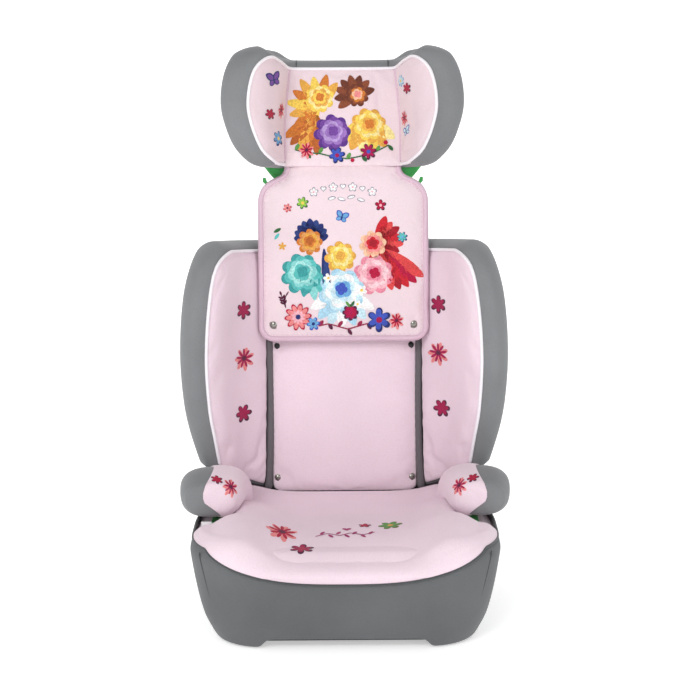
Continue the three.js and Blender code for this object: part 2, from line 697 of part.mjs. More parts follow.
function buildHeadrest() {
  const skin = CLOTH + GAP;
  const cloth = headBody(0).subtract(headBody(CLOTH));
  const stemRoom = box([-STEM.half - 1, STEM.half + 1], [STEM.front - 1.5, STEM.rear + 0.6],
    [500, 548]);
  const across = [-300, 300];
  const sideCut = (gap) => box([-79 - gap, 79 + gap], [-120, -20], [400, 800]);
  const topCut = (gap) => box(across, across, [676 - gap, 800]).intersect(sideCut(gap));
  const face = faceStrip(HEAD_SEAM, 8, -24, PAST_SEAM);
  const faceWide = faceStrip(HEAD_SEAM, 8 + GAP, -24.5, PAST_SEAM + GAP, 12.5);
  const pink = cloth.intersect(face).subtract(topCut(GAP));
  piece('head_panel_middle', evened(pink.intersect(sideCut(0))), PINK(), 'back');
  const side = pink.subtract(sideCut(GAP)).intersect(box([0, 300], across, [0, 900]));
  pair('head_panel', side, PINK, 'back');
  piece('head_cover', evened(cloth.subtract(faceWide.subtract(topCut(0))).subtract(stemRoom)),
    GREY(), 'back');

  const inner = headBody(skin);
  const notFace = (grow) => faceStrip(HEAD_SEAM + 1, skin + WALL + 3 - grow, -30, 0.9 - grow, 20);
  const stem = box([-STEM.half, STEM.half], [STEM.front, STEM.rear], [STEM.bottom, 545]);
  const ear = (x) => box([x, x + 4], [STEM.rear - 1, 9], [LOCK.z - 12, LOCK.z + 12]);
  const earSlot = box([-60, 60], [LOCK.y - 3.5, LOCK.y + LOCK.travel + 3.5],
    [LOCK.z - 3.4, LOCK.z + 3.4]);
  const bracket = ear(30).add(ear(-34)).subtract(earSlot);
  const shell = inner.subtract(headBody(skin + WALL)).subtract(notFace(0));
  piece('head_shell', evened(shell.add(stem).add(bracket)), DARK(), 'back');
  const shellRoom = headBody(skin - GAP).subtract(headBody(skin + WALL + 3 * GAP))
    .subtract(notFace(2 * GAP));
  const stemGrown = box([-STEM.half - GAP, STEM.half + GAP],
    [STEM.front - GAP, STEM.rear + GAP], [400, 545 + GAP]);
  piece('head_foam', evened(headBody(skin + 4 * GAP).subtract(shellRoom).subtract(stemGrown)), FOAM(), 'back');

  const seamLevels = [538, 552, 570, 590, 618, 640, 660, 676, 686];
  const seamAt = (level) => headRing(level, -2.9)[HEAD_SEAM].slice(0, 2).concat(level);
  pair('head_piping', cord(seamLevels.map(seamAt), 2.1, 18), WHITE, 'back');
}

// Hook below each headrest wing that the shoulder belt runs through.
function buildShoulderGuides() {
  const outline = [
    [86, 530.4], [86, 511], [91, 506], [111, 506], [116, 511], [116, 517], [112, 517],
    [110, 511], [95, 511], [93, 515], [93, 522], [103, 522], [103, 530.4],
  ];
  pair('shoulder_belt_guide', sweepY(outline, FLAP.back + 0.7, PAD.front - 1.3), GREEN, 'back');
}

function buildApron() {
  const { half, neck, bottom, top, corner } = FLAP;
  const right = [[neck, top], [neck, 521], [104, 514], [117, 502], [half, 480], [half, bottom + corner]];
  for (let k = 0; k <= 4; k += 1) {
    const a = (-k * Math.PI) / 8;
    right.push([half - corner + corner * Math.cos(a), bottom + corner + corner * Math.sin(a)]);
  }
  const outline = [...right, ...right.map(([x, z]) => [-x, z]).reverse()];
  piece('apron', sweepY(outline, FLAP.front, FLAP.back), PINK(), 'back');
  const snap = rod('y', 6, FLAP.front - GAP - 3.4, FLAP.front - GAP, [101, 305], 14);
  pair('apron_snap', snap, STEEL, 'back');
}

// Pull handle behind the headrest, its rod with the slanted cam slot, and the lock bar.
function buildAdjuster() {
  const housingOuter = box([-24, 24], [HEAD.rear + 2.5, 10], [556, 640]);
  const housingRoom = box([-21, 21], [HEAD.rear - 5, 7], [540, 637]);
  const bridge = box([-22, 22], [HEAD.rear + 2.5, 8], [622, 626]);
  const rodRoom = box([-4, 4], [-8, 2], [500, 700]);
  piece('handle_housing', housingOuter.subtract(housingRoom).add(bridge).subtract(rodRoom),
    DARK(), 'back');

  const grip = box([-38, 38], [-9, 3], [646, 682])
    .subtract(box([-27, 27], [-20, 20], [656, 673]))
    .subtract(box([-2.4, 2.4], [-6.4, 0.4], [640, 652]));
  piece('adjuster_handle', grip, GREEN(), 'back');

  const lower = LOCK.z;
  const slotLow = [LOCK.y + LOCK.travel, lower - LOCK.travel];
  const width = LOCK.r + 0.35;
  const slot = rod('x', width, -10, 10, [LOCK.y, lower], 14)
    .add(rod('x', width, -10, 10, slotLow, 14))
    .add(rod('x', width, -10, 10, [(LOCK.y + slotLow[0]) / 2, (lower + slotLow[1]) / 2], 14));
  const edge = width / Math.SQRT2;
  const slotBand = sweepX([
    [LOCK.y - edge, lower - edge], [slotLow[0] - edge, slotLow[1] - edge],
    [slotLow[0] + edge, slotLow[1] + edge], [LOCK.y + edge, lower + edge],
  ], -10, 10);
  const cam = sweepX([
    [-11, lower + 12], [-11, lower - 14], [14, lower - 14], [14, lower + 2], [2, lower + 14],
    [0, lower + 20], [0, 651.6], [-6, 651.6], [-6, lower + 20], [-8, lower + 16],
  ], -2, 2);
  const collar = box([-8, 8], [-10, 4], [582, 586]);
  piece('pull_rod', cam.subtract(slot.add(slotBand)).add(collar), STEEL(), 'back');

  const turns = 4;
  const coil = Array.from({ length: turns * 8 + 1 }, (_, k) => {
    const a = (k / 8) * 2 * Math.PI;
    return [6.2 * Math.cos(a), -3 + 6.2 * Math.sin(a), 587.5 + (33 * k) / (turns * 8)];
  });
  piece('handle_spring', cord(coil, 0.8, turns * 9, 5), STEEL(), 'back');
  piece('lock_bar', rod('x', LOCK.r, -LOCK.half, LOCK.half, [LOCK.y, LOCK.z], 14), STEEL(), 'back');
}

buildBase();
buildLapGuides();
buildBaseTrim();
buildBackrest();
buildRails();
buildHinge();
buildHeadrest();
buildShoulderGuides();
buildApron();
buildAdjuster();

export default group;
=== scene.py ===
"""Looks of the booster seat: sewn covers, piping, prints and studio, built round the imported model."""
import math

import bmesh
import bpy
import numpy as np
from mathutils import Matrix, Vector
from mathutils.bvhtree import BVHTree

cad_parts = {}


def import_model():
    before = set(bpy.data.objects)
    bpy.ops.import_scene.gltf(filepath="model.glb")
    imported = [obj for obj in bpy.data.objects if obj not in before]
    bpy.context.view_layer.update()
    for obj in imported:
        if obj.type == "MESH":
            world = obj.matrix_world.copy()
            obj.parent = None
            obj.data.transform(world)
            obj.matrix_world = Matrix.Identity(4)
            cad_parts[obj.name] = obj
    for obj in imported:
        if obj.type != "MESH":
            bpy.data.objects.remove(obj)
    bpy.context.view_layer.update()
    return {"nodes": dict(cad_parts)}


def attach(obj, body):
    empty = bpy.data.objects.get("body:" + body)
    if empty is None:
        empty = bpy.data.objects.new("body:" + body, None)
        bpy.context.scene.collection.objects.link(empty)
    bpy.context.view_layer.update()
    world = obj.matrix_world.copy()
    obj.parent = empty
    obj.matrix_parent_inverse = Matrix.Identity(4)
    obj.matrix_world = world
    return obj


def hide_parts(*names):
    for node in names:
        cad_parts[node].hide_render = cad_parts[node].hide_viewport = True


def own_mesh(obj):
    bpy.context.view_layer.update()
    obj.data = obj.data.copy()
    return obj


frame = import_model()

MM = 0.001
SIDES = (("right", 1), ("left", -1))
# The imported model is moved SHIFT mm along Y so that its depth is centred; the backrest leans back
# about the pivot.
SHIFT = 15.46
LEAN = math.radians(7)
PIVOT_Y, PIVOT_Z = 150, 75


def world(points, leaning):
    """Millimetres in the seat's or the leaning backrest's own axes, to metres in the row frame."""
    p = np.asarray(points, float)
    y, z = p[..., 1], p[..., 2]
    if leaning:
        y, z = (PIVOT_Y + y * math.cos(LEAN) + z * math.sin(LEAN),
                PIVOT_Z + z * math.cos(LEAN) - y * math.sin(LEAN))
    return np.stack([p[..., 0], y - SHIFT, z], -1) * MM


def step(value, low, high):
    """Smooth rise from 0 at low to 1 at high."""
    t = np.clip((value - low) / (high - low), 0, 1)
    return t * t * (3 - 2 * t)


def bowed(value, power):
    """value with its size raised to a power and its sign kept."""
    return math.copysign(abs(value) ** power, value)


def turn_of(k, count):
    """Angle of step k of count steps round a circle."""
    return 2 * math.pi * k / count


def dress(piece, body, slot, *nodes, fill=None):
    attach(piece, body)
    if nodes:
        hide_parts(*nodes)
    return piece


# ------------------------------------------------------------------ camera
def make_camera():
    tilt, roll = math.radians(79), math.radians(-0.4)
    data = bpy.data.cameras.new("camera")
    data.lens, data.sensor_width = 97.7, 36
    data.shift_x = 0.0085
    data.clip_end = 200
    cam = bpy.data.objects.new("camera", data)
    bpy.context.scene.collection.objects.link(cam)
    cam.location = (0, -2.61546, 0.8754)
    cam.rotation_euler = (Matrix.Rotation(tilt, 4, "X") @ Matrix.Rotation(roll, 4, "Z")).to_euler()
    bpy.context.scene.camera = cam


make_camera()


# ------------------------------------------------------------------ materials
def rgb(code):
    """Linear colour of a six-digit sRGB code."""
    out = []
    for k in (0, 2, 4):
        v = int(code[k:k + 2], 16) / 255
        out.append(v / 12.92 if v <= 0.04045 else ((v + 0.055) / 1.055) ** 2.4)
    return (*out, 1)


def shade(colour, factor):
    return (*[min(1, c * factor) for c in colour[:3]], 1)


def grey(value):
    return (value, value, value, 1)


def put(node, **values):
    """Sets sockets of a node; an underscore in a key stands for a space."""
    for key, value in values.items():
        node.inputs[key.replace("_", " ")].default_value = value
    return node


class Nodes:
    """Short calls for building one material."""

    def __init__(self, name):
        self.mat = bpy.data.materials.new(name)
        self.mat.use_nodes = True
        self.tree = self.mat.node_tree
        self.shader = self.tree.nodes["Principled BSDF"]
        self.coord = self.add("ShaderNodeTexCoord").outputs["Object"]

    def add(self, kind, **values):
        node = self.tree.nodes.new(kind)
        for key, value in values.items():
            setattr(node, key, value)
        return node

    def link(self, a, b):
        self.tree.links.new(a, b)

    def noise(self, scale, detail=3, stretch=None):
        tex = put(self.add("ShaderNodeTexNoise"), Scale=scale, Detail=detail)
        source = self.coord
        if stretch:
            mapping = put(self.add("ShaderNodeMapping"), Scale=stretch)
            self.link(self.coord, mapping.inputs["Vector"])
            source = mapping.outputs["Vector"]
        self.link(source, tex.inputs["Vector"])
        return tex.outputs["Fac"]

    def loops(self, size):
        """Small rounded loops of yarn, about size metres apart and highest in their middles."""
        tex = put(self.add("ShaderNodeTexVoronoi"), Scale=1 / size)
        self.link(self.coord, tex.inputs["Vector"])
        return self.maths("SUBTRACT", 1.0, tex.outputs["Distance"])

    def maths(self, operation, a, b):
        node = self.add("ShaderNodeMath", operation=operation)
        for socket, value in zip(node.inputs, (a, b)):
            if isinstance(value, (int, float)):
                socket.default_value = value
            else:
                self.link(value, socket)
        return node.outputs[0]

    def blend(self, a, b, share):
        """Share of a, plus b."""
        return self.maths("ADD", self.maths("MULTIPLY", a, share), b)

    def ramp(self, fac, low, high, dark, light):
        node = self.add("ShaderNodeValToRGB")
        for stop, position, colour in zip(node.color_ramp.elements, (low, high), (dark, light)):
            stop.position, stop.color = position, colour
        self.link(fac, node.inputs["Fac"])
        return node.outputs["Color"]

    def span(self, fac, low, high):
        node = put(self.add("ShaderNodeMapRange"), To_Min=low, To_Max=high)
        self.link(fac, node.inputs["Value"])
        return node.outputs["Result"]

    def multiply(self, a, b, share):
        """Colour a darkened by colour b; sockets 6 and 7 of a mix node are its two colours."""
        node = self.add("ShaderNodeMix", data_type="RGBA", blend_type="MULTIPLY")
        node.inputs[0].default_value = share
        self.link(a, node.inputs[6])
        self.link(b, node.inputs[7])
        return node.outputs[2]

    def surface(self, colour, rough, height, strength, distance, **values):
        """Colour, roughness, bump and plain shader values; gives the finished material."""
        node = put(self.add("ShaderNodeBump"), Strength=strength, Distance=distance)
        self.link(height, node.inputs["Height"])
        self.link(node.outputs["Normal"], self.shader.inputs["Normal"])
        self.link(colour, self.shader.inputs["Base Color"])
        self.link(rough, self.shader.inputs["Roughness"])
        put(self.shader, **values)
        return self.mat


def fabric(name, code, pitch=0.0011, sheen=0.25, depth=0.00022, mottle=0.07):
    """Knitted cloth: small loops with painted shade between them, soft mottling and a light nap."""
    n = Nodes(name)
    base = rgb(code)
    patches = n.ramp(n.noise(7, 4), 0.3, 0.72, shade(base, 1 - mottle), shade(base, 1 + mottle / 2))
    knit = n.loops(pitch)
    # the colour darkens between the yarn loops, where the bump is lowest: painted shade in the knit's
    # hollows, mixed with fine random speckle
    loop_shade_and_speckle = n.ramp(n.blend(knit, n.noise(900, 2), 0.7), 0.35, 1.15, grey(0.86), grey(1))
    height = n.blend(knit, n.maths("MULTIPLY", n.noise(260, 3), 0.7), 0.8)
    return n.surface(n.multiply(patches, loop_shade_and_speckle, 0.8), n.span(n.noise(60, 3), 0.78, 0.95), height, 0.5,
                     depth, Sheen_Weight=sheen, Sheen_Roughness=0.5, Sheen_Tint=grey(1),
                     Specular_IOR_Level=0.25)


def plastic(name, code, rough=0.45, grain=0.00012):
    """Moulded plastic: fine spark-eroded grain, flow marks and rubbed patches."""
    n = Nodes(name)
    base = rgb(code)
    flow = n.noise(6, 3, (1, 1, 3))
    return n.surface(n.ramp(flow, 0.3, 0.7, shade(base, 0.85), shade(base, 1.15)),
                     n.span(n.noise(35, 4), rough - 0.1, rough + 0.12), n.noise(1500, 2), 0.35, grain,
                     Specular_IOR_Level=0.5)


def metal(name, code, rough):
    """Brushed metal."""
    n = Nodes(name)
    base = rgb(code)
    brushed = n.noise(500, 3, (1, 0.05, 1))
    return n.surface(n.ramp(brushed, 0.35, 0.7, shade(base, 0.8), base),
                     n.span(n.noise(90, 3), rough - 0.08, rough + 0.12), brushed, 0.15, 0.00005,
                     Metallic=1.0)


def ink(code):
    """Dye printed into the knit: the colour keeps the weave and thins out in specks."""
    name = "print_" + code
    if name in bpy.data.materials:
        return bpy.data.materials[name]
    n = Nodes(name)
    base = rgb(code)
    speckle = n.ramp(n.noise(420, 4), 0.36, 0.66, shade(base, 0.8), shade(base, 1.12))
    worn = n.ramp(n.noise(60, 2), 0.3, 0.7, grey(0.86), grey(1))
    return n.surface(n.multiply(speckle, worn, 0.8), n.span(n.noise(90, 2), 0.74, 0.92),
                     n.loops(0.0011), 0.4, 0.00015, Sheen_Weight=0.12, Sheen_Roughness=0.5,
                     Specular_IOR_Level=0.25)


PINK = fabric("pink_knit", "ebd6e0")
PALE = fabric("pale_knit", "e6d2d8")
LILAC = fabric("lilac_binding", "d9bccb", pitch=0.0016, depth=0.0003)
GREY = fabric("grey_knit", "808284", pitch=0.0013, sheen=0.16, mottle=0.16)
BINDING = fabric("grey_binding", "676366", pitch=0.0015, sheen=0.15, mottle=0.1)
# darker copy of the grey knit for the skirt: painted shade, because the skirt faces a little downwards and
# gets less light
SKIRT_SHADED_GREY = fabric("grey_knit_painted_shade_skirt", "646668", pitch=0.0013, sheen=0.13, mottle=0.16)
PIPING = fabric("piping_tape", "f4eff4", pitch=0.002, depth=0.0002)
LABEL = fabric("label_satin", "f3f3f3", pitch=0.0007, depth=0.00008)
THREAD = fabric("sewing_thread", "d9bccb", pitch=0.0008, depth=0.0002)
GREY_THREAD = fabric("grey_thread", "4c4e50", pitch=0.0008, depth=0.0002)
DARK = plastic("black_plastic", "26272a")
RUBBER = plastic("black_rubber", "1d1d1f", rough=0.75, grain=0.0002)
GREEN = plastic("green_plastic", "3fae54", rough=0.38)
STEEL = metal("zinc_steel", "b4b8bd", 0.3)
SILVER = metal("nickel_snap", "98968f", 0.24)
BLACK_SNAP = plastic("black_snap", "18181a", rough=0.3, grain=0.00004)


# ------------------------------------------------------------------ meshes
def new_object(name, verts, faces, material, smooth=True):
    mesh = bpy.data.meshes.new(name)
    mesh.from_pydata([tuple(v) for v in verts], [], faces)
    mesh.validate()
    mesh.update()
    mesh.shade_smooth() if smooth else mesh.shade_flat()
    for m in material if isinstance(material, (list, tuple)) else [material]:
        mesh.materials.append(m)
    obj = bpy.data.objects.new(name, mesh)
    bpy.context.scene.collection.objects.link(obj)
    return obj


def outward(obj):
    """Makes the faces of a closed mesh look outward."""
    bm = bmesh.new()
    bm.from_mesh(obj.data)
    bmesh.ops.remove_doubles(bm, verts=bm.verts, dist=1e-6)
    bmesh.ops.recalc_face_normals(bm, faces=bm.faces)
    if bm.calc_volume(signed=True) < 0:
        bmesh.ops.reverse_faces(bm, faces=bm.faces)
    bm.to_mesh(obj.data)
    bm.free()
    return obj


def refine(obj, levels=1):
    """Applies a subdivision surface."""
    mod = obj.modifiers.new("smooth", "SUBSURF")
    mod.levels = mod.render_levels = levels
    graph = bpy.context.evaluated_depsgraph_get()
    mesh = bpy.data.meshes.new_from_object(obj.evaluated_get(graph))
    obj.modifiers.clear()
    old = obj.data
    obj.data = mesh
    bpy.data.meshes.remove(old)
    obj.data.shade_smooth()
    return obj


def quads(rows, cols, wrap=False):
    """Faces of a grid stored row by row; wrap joins the last column to the first."""
    faces = []
    for r in range(rows - 1):
        for c in range(cols if wrap else cols - 1):
            d = (c + 1) % cols
            faces.append((r * cols + c, r * cols + d, (r + 1) * cols + d, (r + 1) * cols + c))
    return faces


def lathe_rows(name, rings, leaning, material, sign=1, ladder=True):
    """Closed body through rings; the end rings are capped by ladders across them."""
    rings = np.asarray(rings, float) * [sign, 1, 1]
    rows, cols = rings.shape[:2]
    faces = quads(rows, cols, wrap=True)
    for first in (0, (rows - 1) * cols):
        if ladder:
            for i in range(cols // 2 - 1):
                faces.append((first + i, first + i + 1, first + cols - 2 - i, first + cols - 1 - i))
        else:
            faces.append(tuple(range(first, first + cols)))
    return solid(name, world(rings.reshape(-1, 3), leaning), faces, material)


def solid(name, verts, faces, material):
    return outward(new_object(name, verts, faces, material))


def tube(name, points, radius, material, leaning=True, sides=10, flat=1.0, up=(0.3, 1, 0.2)):
    """Round cord along points in millimetres, with domed ends; flat stretches it along up."""
    spacing = 2.4
    p = resample(np.asarray(points, float), max(2, int(path_length(points) / spacing)))
    n = len(p)
    tangent = np.gradient(p, axis=0)
    tangent /= np.linalg.norm(tangent, axis=1)[:, None]
    side = np.cross(tangent[0], up)
    verts, radii = [], np.full(n, float(radius))
    for k, share in enumerate((0.35, 0.8)):
        radii[k] *= share
        radii[-1 - k] *= share
    for k in range(n):
        side = side - tangent[k] * side.dot(tangent[k])
        side /= np.linalg.norm(side)
        other = np.cross(tangent[k], side)
        for a in (turn_of(j, sides) for j in range(sides)):
            verts.append(p[k] + radii[k] * (math.cos(a) * side + flat * math.sin(a) * other))
    faces = quads(n, sides, wrap=True)
    faces += [tuple(range(sides)), tuple(range((n - 1) * sides, n * sides))]
    return solid(name, world(verts, leaning), faces, material)


def path_length(points):
    return float(np.linalg.norm(np.diff(np.asarray(points, float), axis=0), axis=1).sum())


def resample(points, count):
    """The same path with evenly spaced points."""
    gaps = np.linalg.norm(np.diff(points, axis=0), axis=1)
    at = np.concatenate([[0], np.cumsum(gaps)])
    want = np.linspace(0, at[-1], count)
    return np.stack([np.interp(want, at, points[:, c]) for c in range(3)], -1)


def join(name, objects):
    """One object from several, keeping their materials."""
    bpy.ops.object.select_all(action="DESELECT")
    for o in objects:
        o.select_set(True)
    bpy.context.view_layer.objects.active = objects[0]
    bpy.ops.object.join()
    objects[0].name = name
    objects[0].data.name = name
    return objects[0]


# ------------------------------------------------------------------ curves shared with the CAD
def station(rows, key):
    """Smooth interpolation of rows [key, a, b, ...], as the CAD does it."""
    last = len(rows) - 1
    i = 0
    while i < last - 1 and key > rows[i + 1][0]:
        i += 1
    span = rows[i + 1][0] - rows[i][0]
    t = min(max((key - rows[i][0]) / span, 0), 1)

    def slope(k):
        lo, hi = max(0, k - 1), min(last, k + 1)
        return (np.array(rows[hi]) - rows[lo]) / (rows[hi][0] - rows[lo][0])

    a, b = np.array(rows[i], float), np.array(rows[i + 1], float)
    bend = (t * (1 - t) ** 2 * slope(i) - t * t * (1 - t) * slope(i + 1)) * span
    return a + (b - a) * (t * t * (3 - 2 * t)) + bend


def spline(knots, t):
    """Centripetal Catmull-Rom curve through flat knots."""
    k = np.asarray(knots, float)
    n = len(k) - 1
    q = min(max(t, 0), 1) * n
    i = min(int(q), n - 1)
    w = q - i
    p1, p2 = k[i], k[i + 1]
    p0 = k[i - 1] if i else 2 * k[0] - k[1]
    p3 = k[i + 2] if i + 2 <= n else 2 * k[n] - k[n - 1]
    d0, d1, d2 = (max(math.sqrt(np.linalg.norm(b - a)), 1e-4) for a, b in ((p0, p1), (p1, p2), (p2, p3)))
    m1 = ((p1 - p0) / d0 - (p2 - p0) / (d0 + d1) + (p2 - p1) / d1) * d1
    m2 = ((p2 - p1) / d1 - (p3 - p1) / (d1 + d2) + (p3 - p2) / d2) * d1
    return (p1 + m1 * w + (-3 * p1 + 3 * p2 - 2 * m1 - m2) * w * w
            + (2 * p1 - 2 * p2 + m1 + m2) * w ** 3)


# height; x, y of the front edge's inner corner; x, y of its outer corner
WING_ROWS = [
    [105, 177, -124, 206, -116],
    [157, 184, -150, 219, -142],
    [200, 190, -171, 226, -158],
    [270, 193, -184, 229.5, -169],
    [350, 187, -188, 224, -171],
    [397, 177, -178, 213, -160],
    [427, 162, -146, 199, -140],
]
WING_LOW, WING_HIGH, WING_ROOT, WING_ROOT_LOW = 105, 427, 118, 64


def wing_at(t, level):
    """Point of the right wing's outline at a rim height, in backrest axes."""
    _, xp, yp, xo, yo = station(WING_ROWS, level)
    face, back = -50, -9
    x, y = spline([
        [WING_ROOT, face],
        [WING_ROOT + (xp - WING_ROOT) * 0.5, face + (yp - face) * 0.4],
        [xp, yp],
        [(xp + xo) / 2 + 3, min(yp, yo) - 7],
        [xo, yo],
        [xo - 3, yo * 0.62],
        [min(xo - 22, 192), -16],
        [min(xo - 44, 172), back],
        [WING_ROOT, back],
    ], t)
    share = (level - WING_LOW) / (WING_HIGH - WING_LOW)
    out = min(max((x - WING_ROOT) / (xo - WING_ROOT), 0), 1)
    low = WING_ROOT_LOW + (WING_LOW - WING_ROOT_LOW) * out
    return np.array([x, y, low + (WING_HIGH - low) * share])


# height; x, y of the wing's inner front corner; of its outer front corner; of the fold
HEAD_ROWS = [
    [531, 96, -139, 126, -130, 82, -84],
    [556, 114, -163, 150, -152, 82, -80],
    [590, 127, -182, 164, -170, 82, -76],
    [618, 131, -187, 169, -175, 80, -73],
    [655, 125, -184, 165, -174, 77, -70],
    [682, 111, -176, 154, -168, 74, -68],
    [698, 98, -164, 140, -158, 70, -68],
]
HEAD_LOW, HEAD_HIGH = 531, 698


def head_at(t, level):
    """Point of the headrest's outline, in backrest axes; t runs -1 to 1 and is 0 at the face's middle."""
    _, xp, yp, xo, yo, xc, yc = station(HEAD_ROWS, level)
    x, y = spline([
        [0, yc + 2],
        [xc * 0.7, yc + 1],
        [xc, yc - 6],
        [xc + (xp - xc) * 0.45, yc + (yp - yc) * 0.5],
        [xp, yp],
        [(xp + xo) / 2 + 2, min(yp, yo) - 6],
        [xo, yo],
        [xo - (xo - xc) * 0.3, yo * 0.5],
        [xc + 6, -24],
        [xc * 0.6, -14],
        [0, -14],
    ], abs(t))
    dip = 11 * (1 - step(x, 72, 108)) * step(level, 600, 698)
    return np.array([math.copysign(x, t) if t else 0.0, y, level - dip])


# station; x, y, z of the middle; half width, half height; lean in radians
ARM_ROWS = [
    [0, 166, 88, 66, 28, 22, 1.2],
    [1, 170, 66, 120, 36, 30, 0.75],
    [2, 178, 34, 152, 43, 30, 0.35],
    [3, 184, 2, 172, 46, 30, 0.12],
    [4, 186, -36, 179, 44, 31, 0],
    [5, 186, -66, 178, 40, 29, -0.05],
    [6, 186, -84, 177, 30, 21, -0.1],
    [6.6, 186, -90, 176.5, 16, 11, -0.1],
]
# height; half width; y of the front
BASE_ROWS = [
    [2, 177, -186],
    [14, 183, -191],
    [37, 193, -198],
    [81, 203, -205],
    [131, 211, -207],
]
RIM_HALF, RIM_FRONT = 211, -207
SEAT_REAR, SEAT_CENTRE_Y = 112, -48
FRONT_CORNER, REAR_CORNER = 78, 24
ROLL_DEPTH, ROLL_START = 30.0, 0.86


def seat_height(x, y):
    """Height of the sitting surface, close to the CAD: a dish with bolsters and a rolled front."""
    side = math.exp(-(((abs(x) - 150) / 44) ** 2))
    forward = step(-y, -60, 60)
    return 134 + 8 * step(y, 20, 90) + (10 + 22 * forward) * side - 16 * step(-y, 95, 205)


def seam_height(x):
    """Height of the seam between the grey skirt and the pink seat."""
    return 95 + 43 * min(1, abs(x) / 190) ** 3


# ------------------------------------------------------------------ sewn pads
def surface_grid(surface, columns, low, high, rows):
    """Points and outward unit normals of a patch of a surface, rows by columns."""
    aside, above = 0.004, 1.5
    points = np.zeros((rows, len(columns), 3))
    normals = np.zeros_like(points)
    shares = 0.5 - 0.5 * np.cos(np.linspace(0, math.pi, rows))
    shares = 0.55 * shares + 0.45 * np.linspace(0, 1, rows)
    for c, t in enumerate(columns):
        for r, s in enumerate(shares):
            level = low(t) + (high(t) - low(t)) * s
            across = surface(t + aside, level) - surface(t - aside, level)
            upward = surface(t, level + above) - surface(t, level - above)
            n = np.cross(across, upward)
            points[r, c] = surface(t, level)
            normals[r, c] = n / (np.linalg.norm(n) or 1)
    return points, normals


def border_distance(points, free_left=False):
    """Millimetres from each grid point to the nearest edge of the patch."""
    rows, cols = points.shape[:2]
    edge = [points[0], points[-1], points[:, -1]]
    if not free_left:
        edge.append(points[:, 0])
    edge = np.concatenate(edge)
    flat = points.reshape(-1, 3)
    out = np.min(np.linalg.norm(flat[:, None, :] - edge[None, ::2, :], axis=2), axis=1)
    return out.reshape(rows, cols)


def simulate(obj, pinned, pressure=3.0, cap=4.0, grow=0.02, give=0.3):
    """Cloth under air pressure with its seam held; the motion is limited to cap millimetres, and to
    give millimetres inwards."""
    scene = bpy.context.scene
    stiffness, frames = 12.0, 20
    before = np.array([v.co for v in obj.data.vertices])
    normals = np.array([v.normal for v in obj.data.vertices])
    obj.vertex_groups.new(name="seam").add([int(i) for i in pinned], 1.0, "REPLACE")
    mod = obj.modifiers.new("cloth", "CLOTH")
    for key, value in (
            ("quality", 5), ("mass", 0.25), ("tension_stiffness", stiffness),
            ("compression_stiffness", stiffness), ("shear_stiffness", stiffness * 0.6),
            ("bending_stiffness", 0.4), ("vertex_group_mass", "seam"), ("pin_stiffness", 1.0),
            ("shrink_min", -grow), ("use_pressure", True), ("uniform_pressure_force", pressure)):
        setattr(mod.settings, key, value)
    mod.settings.effector_weights.gravity = 0
    mod.collision_settings.use_collision = False
    for timed in (mod.point_cache, scene):
        timed.frame_start, timed.frame_end = 1, frames
    for f in range(1, frames + 1):
        scene.frame_set(f)
    result = obj.evaluated_get(bpy.context.evaluated_depsgraph_get()).data
    move = np.array([v.co for v in result.vertices]) - before
    obj.modifiers.clear()
    obj.vertex_groups.clear()
    scene.frame_set(1)
    size = np.linalg.norm(move, axis=1)[:, None]
    limit, still = cap * MM, 1e-9
    move = move * np.where(size > still, np.tanh(size / limit) * limit / np.maximum(size, still), 0)
    out = np.sum(move * normals, axis=1)
    if out.sum() < 0:
        normals, out = -normals, -out
    move += normals * np.maximum(0, -give * MM - out)[:, None]
    for v, co in zip(obj.data.vertices, before + move):
        v.co = co
    obj.data.update()


def pad(name, points, normals, material, proud=3.0, tuck=1.6, edge=5.0, crown=2.0, free_left=False,
        sign=1, thickness=4.0, cap=4.0, pressure=4.0, extra=None):
    """A puffy sewn panel lying on a surface: its border is tucked in and its middle stands proud."""
    rows, cols = points.shape[:2]
    near = border_distance(points, free_left)
    wide = max(near.max(), 1)
    lift = (-tuck + (proud + tuck) * (1 - np.exp(-near / edge))
            + crown * np.clip(near / wide, 0, 1) ** 0.7)
    if extra is not None:
        lift = lift + extra(points, near)
    flip = np.array([sign, 1, 1])
    top = (points + normals * lift[..., None]) * flip
    under = (points - normals * thickness) * flip
    faces = quads(rows, cols)
    sheet = new_object(name, world(top.reshape(-1, 3), True), faces, material)
    face = world((normals * flip).reshape(-1, 3), True) - world(np.zeros(3), True)
    first = sheet.data.polygons[len(sheet.data.polygons) // 2]
    if Vector(first.normal).dot(Vector(face[first.vertices[0]])) < 0:
        sheet.data.flip_normals()
    index = np.arange(rows * cols).reshape(rows, cols)
    simulate(sheet, np.unique(np.concatenate([index[0], index[-1], index[:, 0], index[:, -1]])),
             cap=cap, pressure=pressure)
    upper = np.array([v.co for v in sheet.data.vertices])
    bpy.data.objects.remove(sheet)
    n = rows * cols
    closed = faces + [tuple(n + i for i in reversed(f)) for f in faces]
    loop = np.concatenate([index[0, :-1], index[:-1, -1], index[-1, :0:-1], index[:0:-1, 0]])
    for a, b in zip(loop, np.roll(loop, -1)):
        closed.append((int(b), int(a), int(a) + n, int(b) + n))
    lower = world(under.reshape(-1, 3), True)
    return refine(solid(name, np.concatenate([upper, lower]), closed, material))


def rounded(value, start, end, radius):
    """Drop of an edge that turns a round corner between start and end of a parameter."""
    s = min(max((value - start) / (end - start), 0), 1)
    return radius * (1 - math.sqrt(1 - s * s))


def spaced(start, end, count, tight=0.6):
    """Values from start to end that crowd towards both ends."""
    u = np.linspace(0, 1, count)
    return start + (end - start) * (tight * (0.5 - 0.5 * np.cos(math.pi * u)) + (1 - tight) * u)


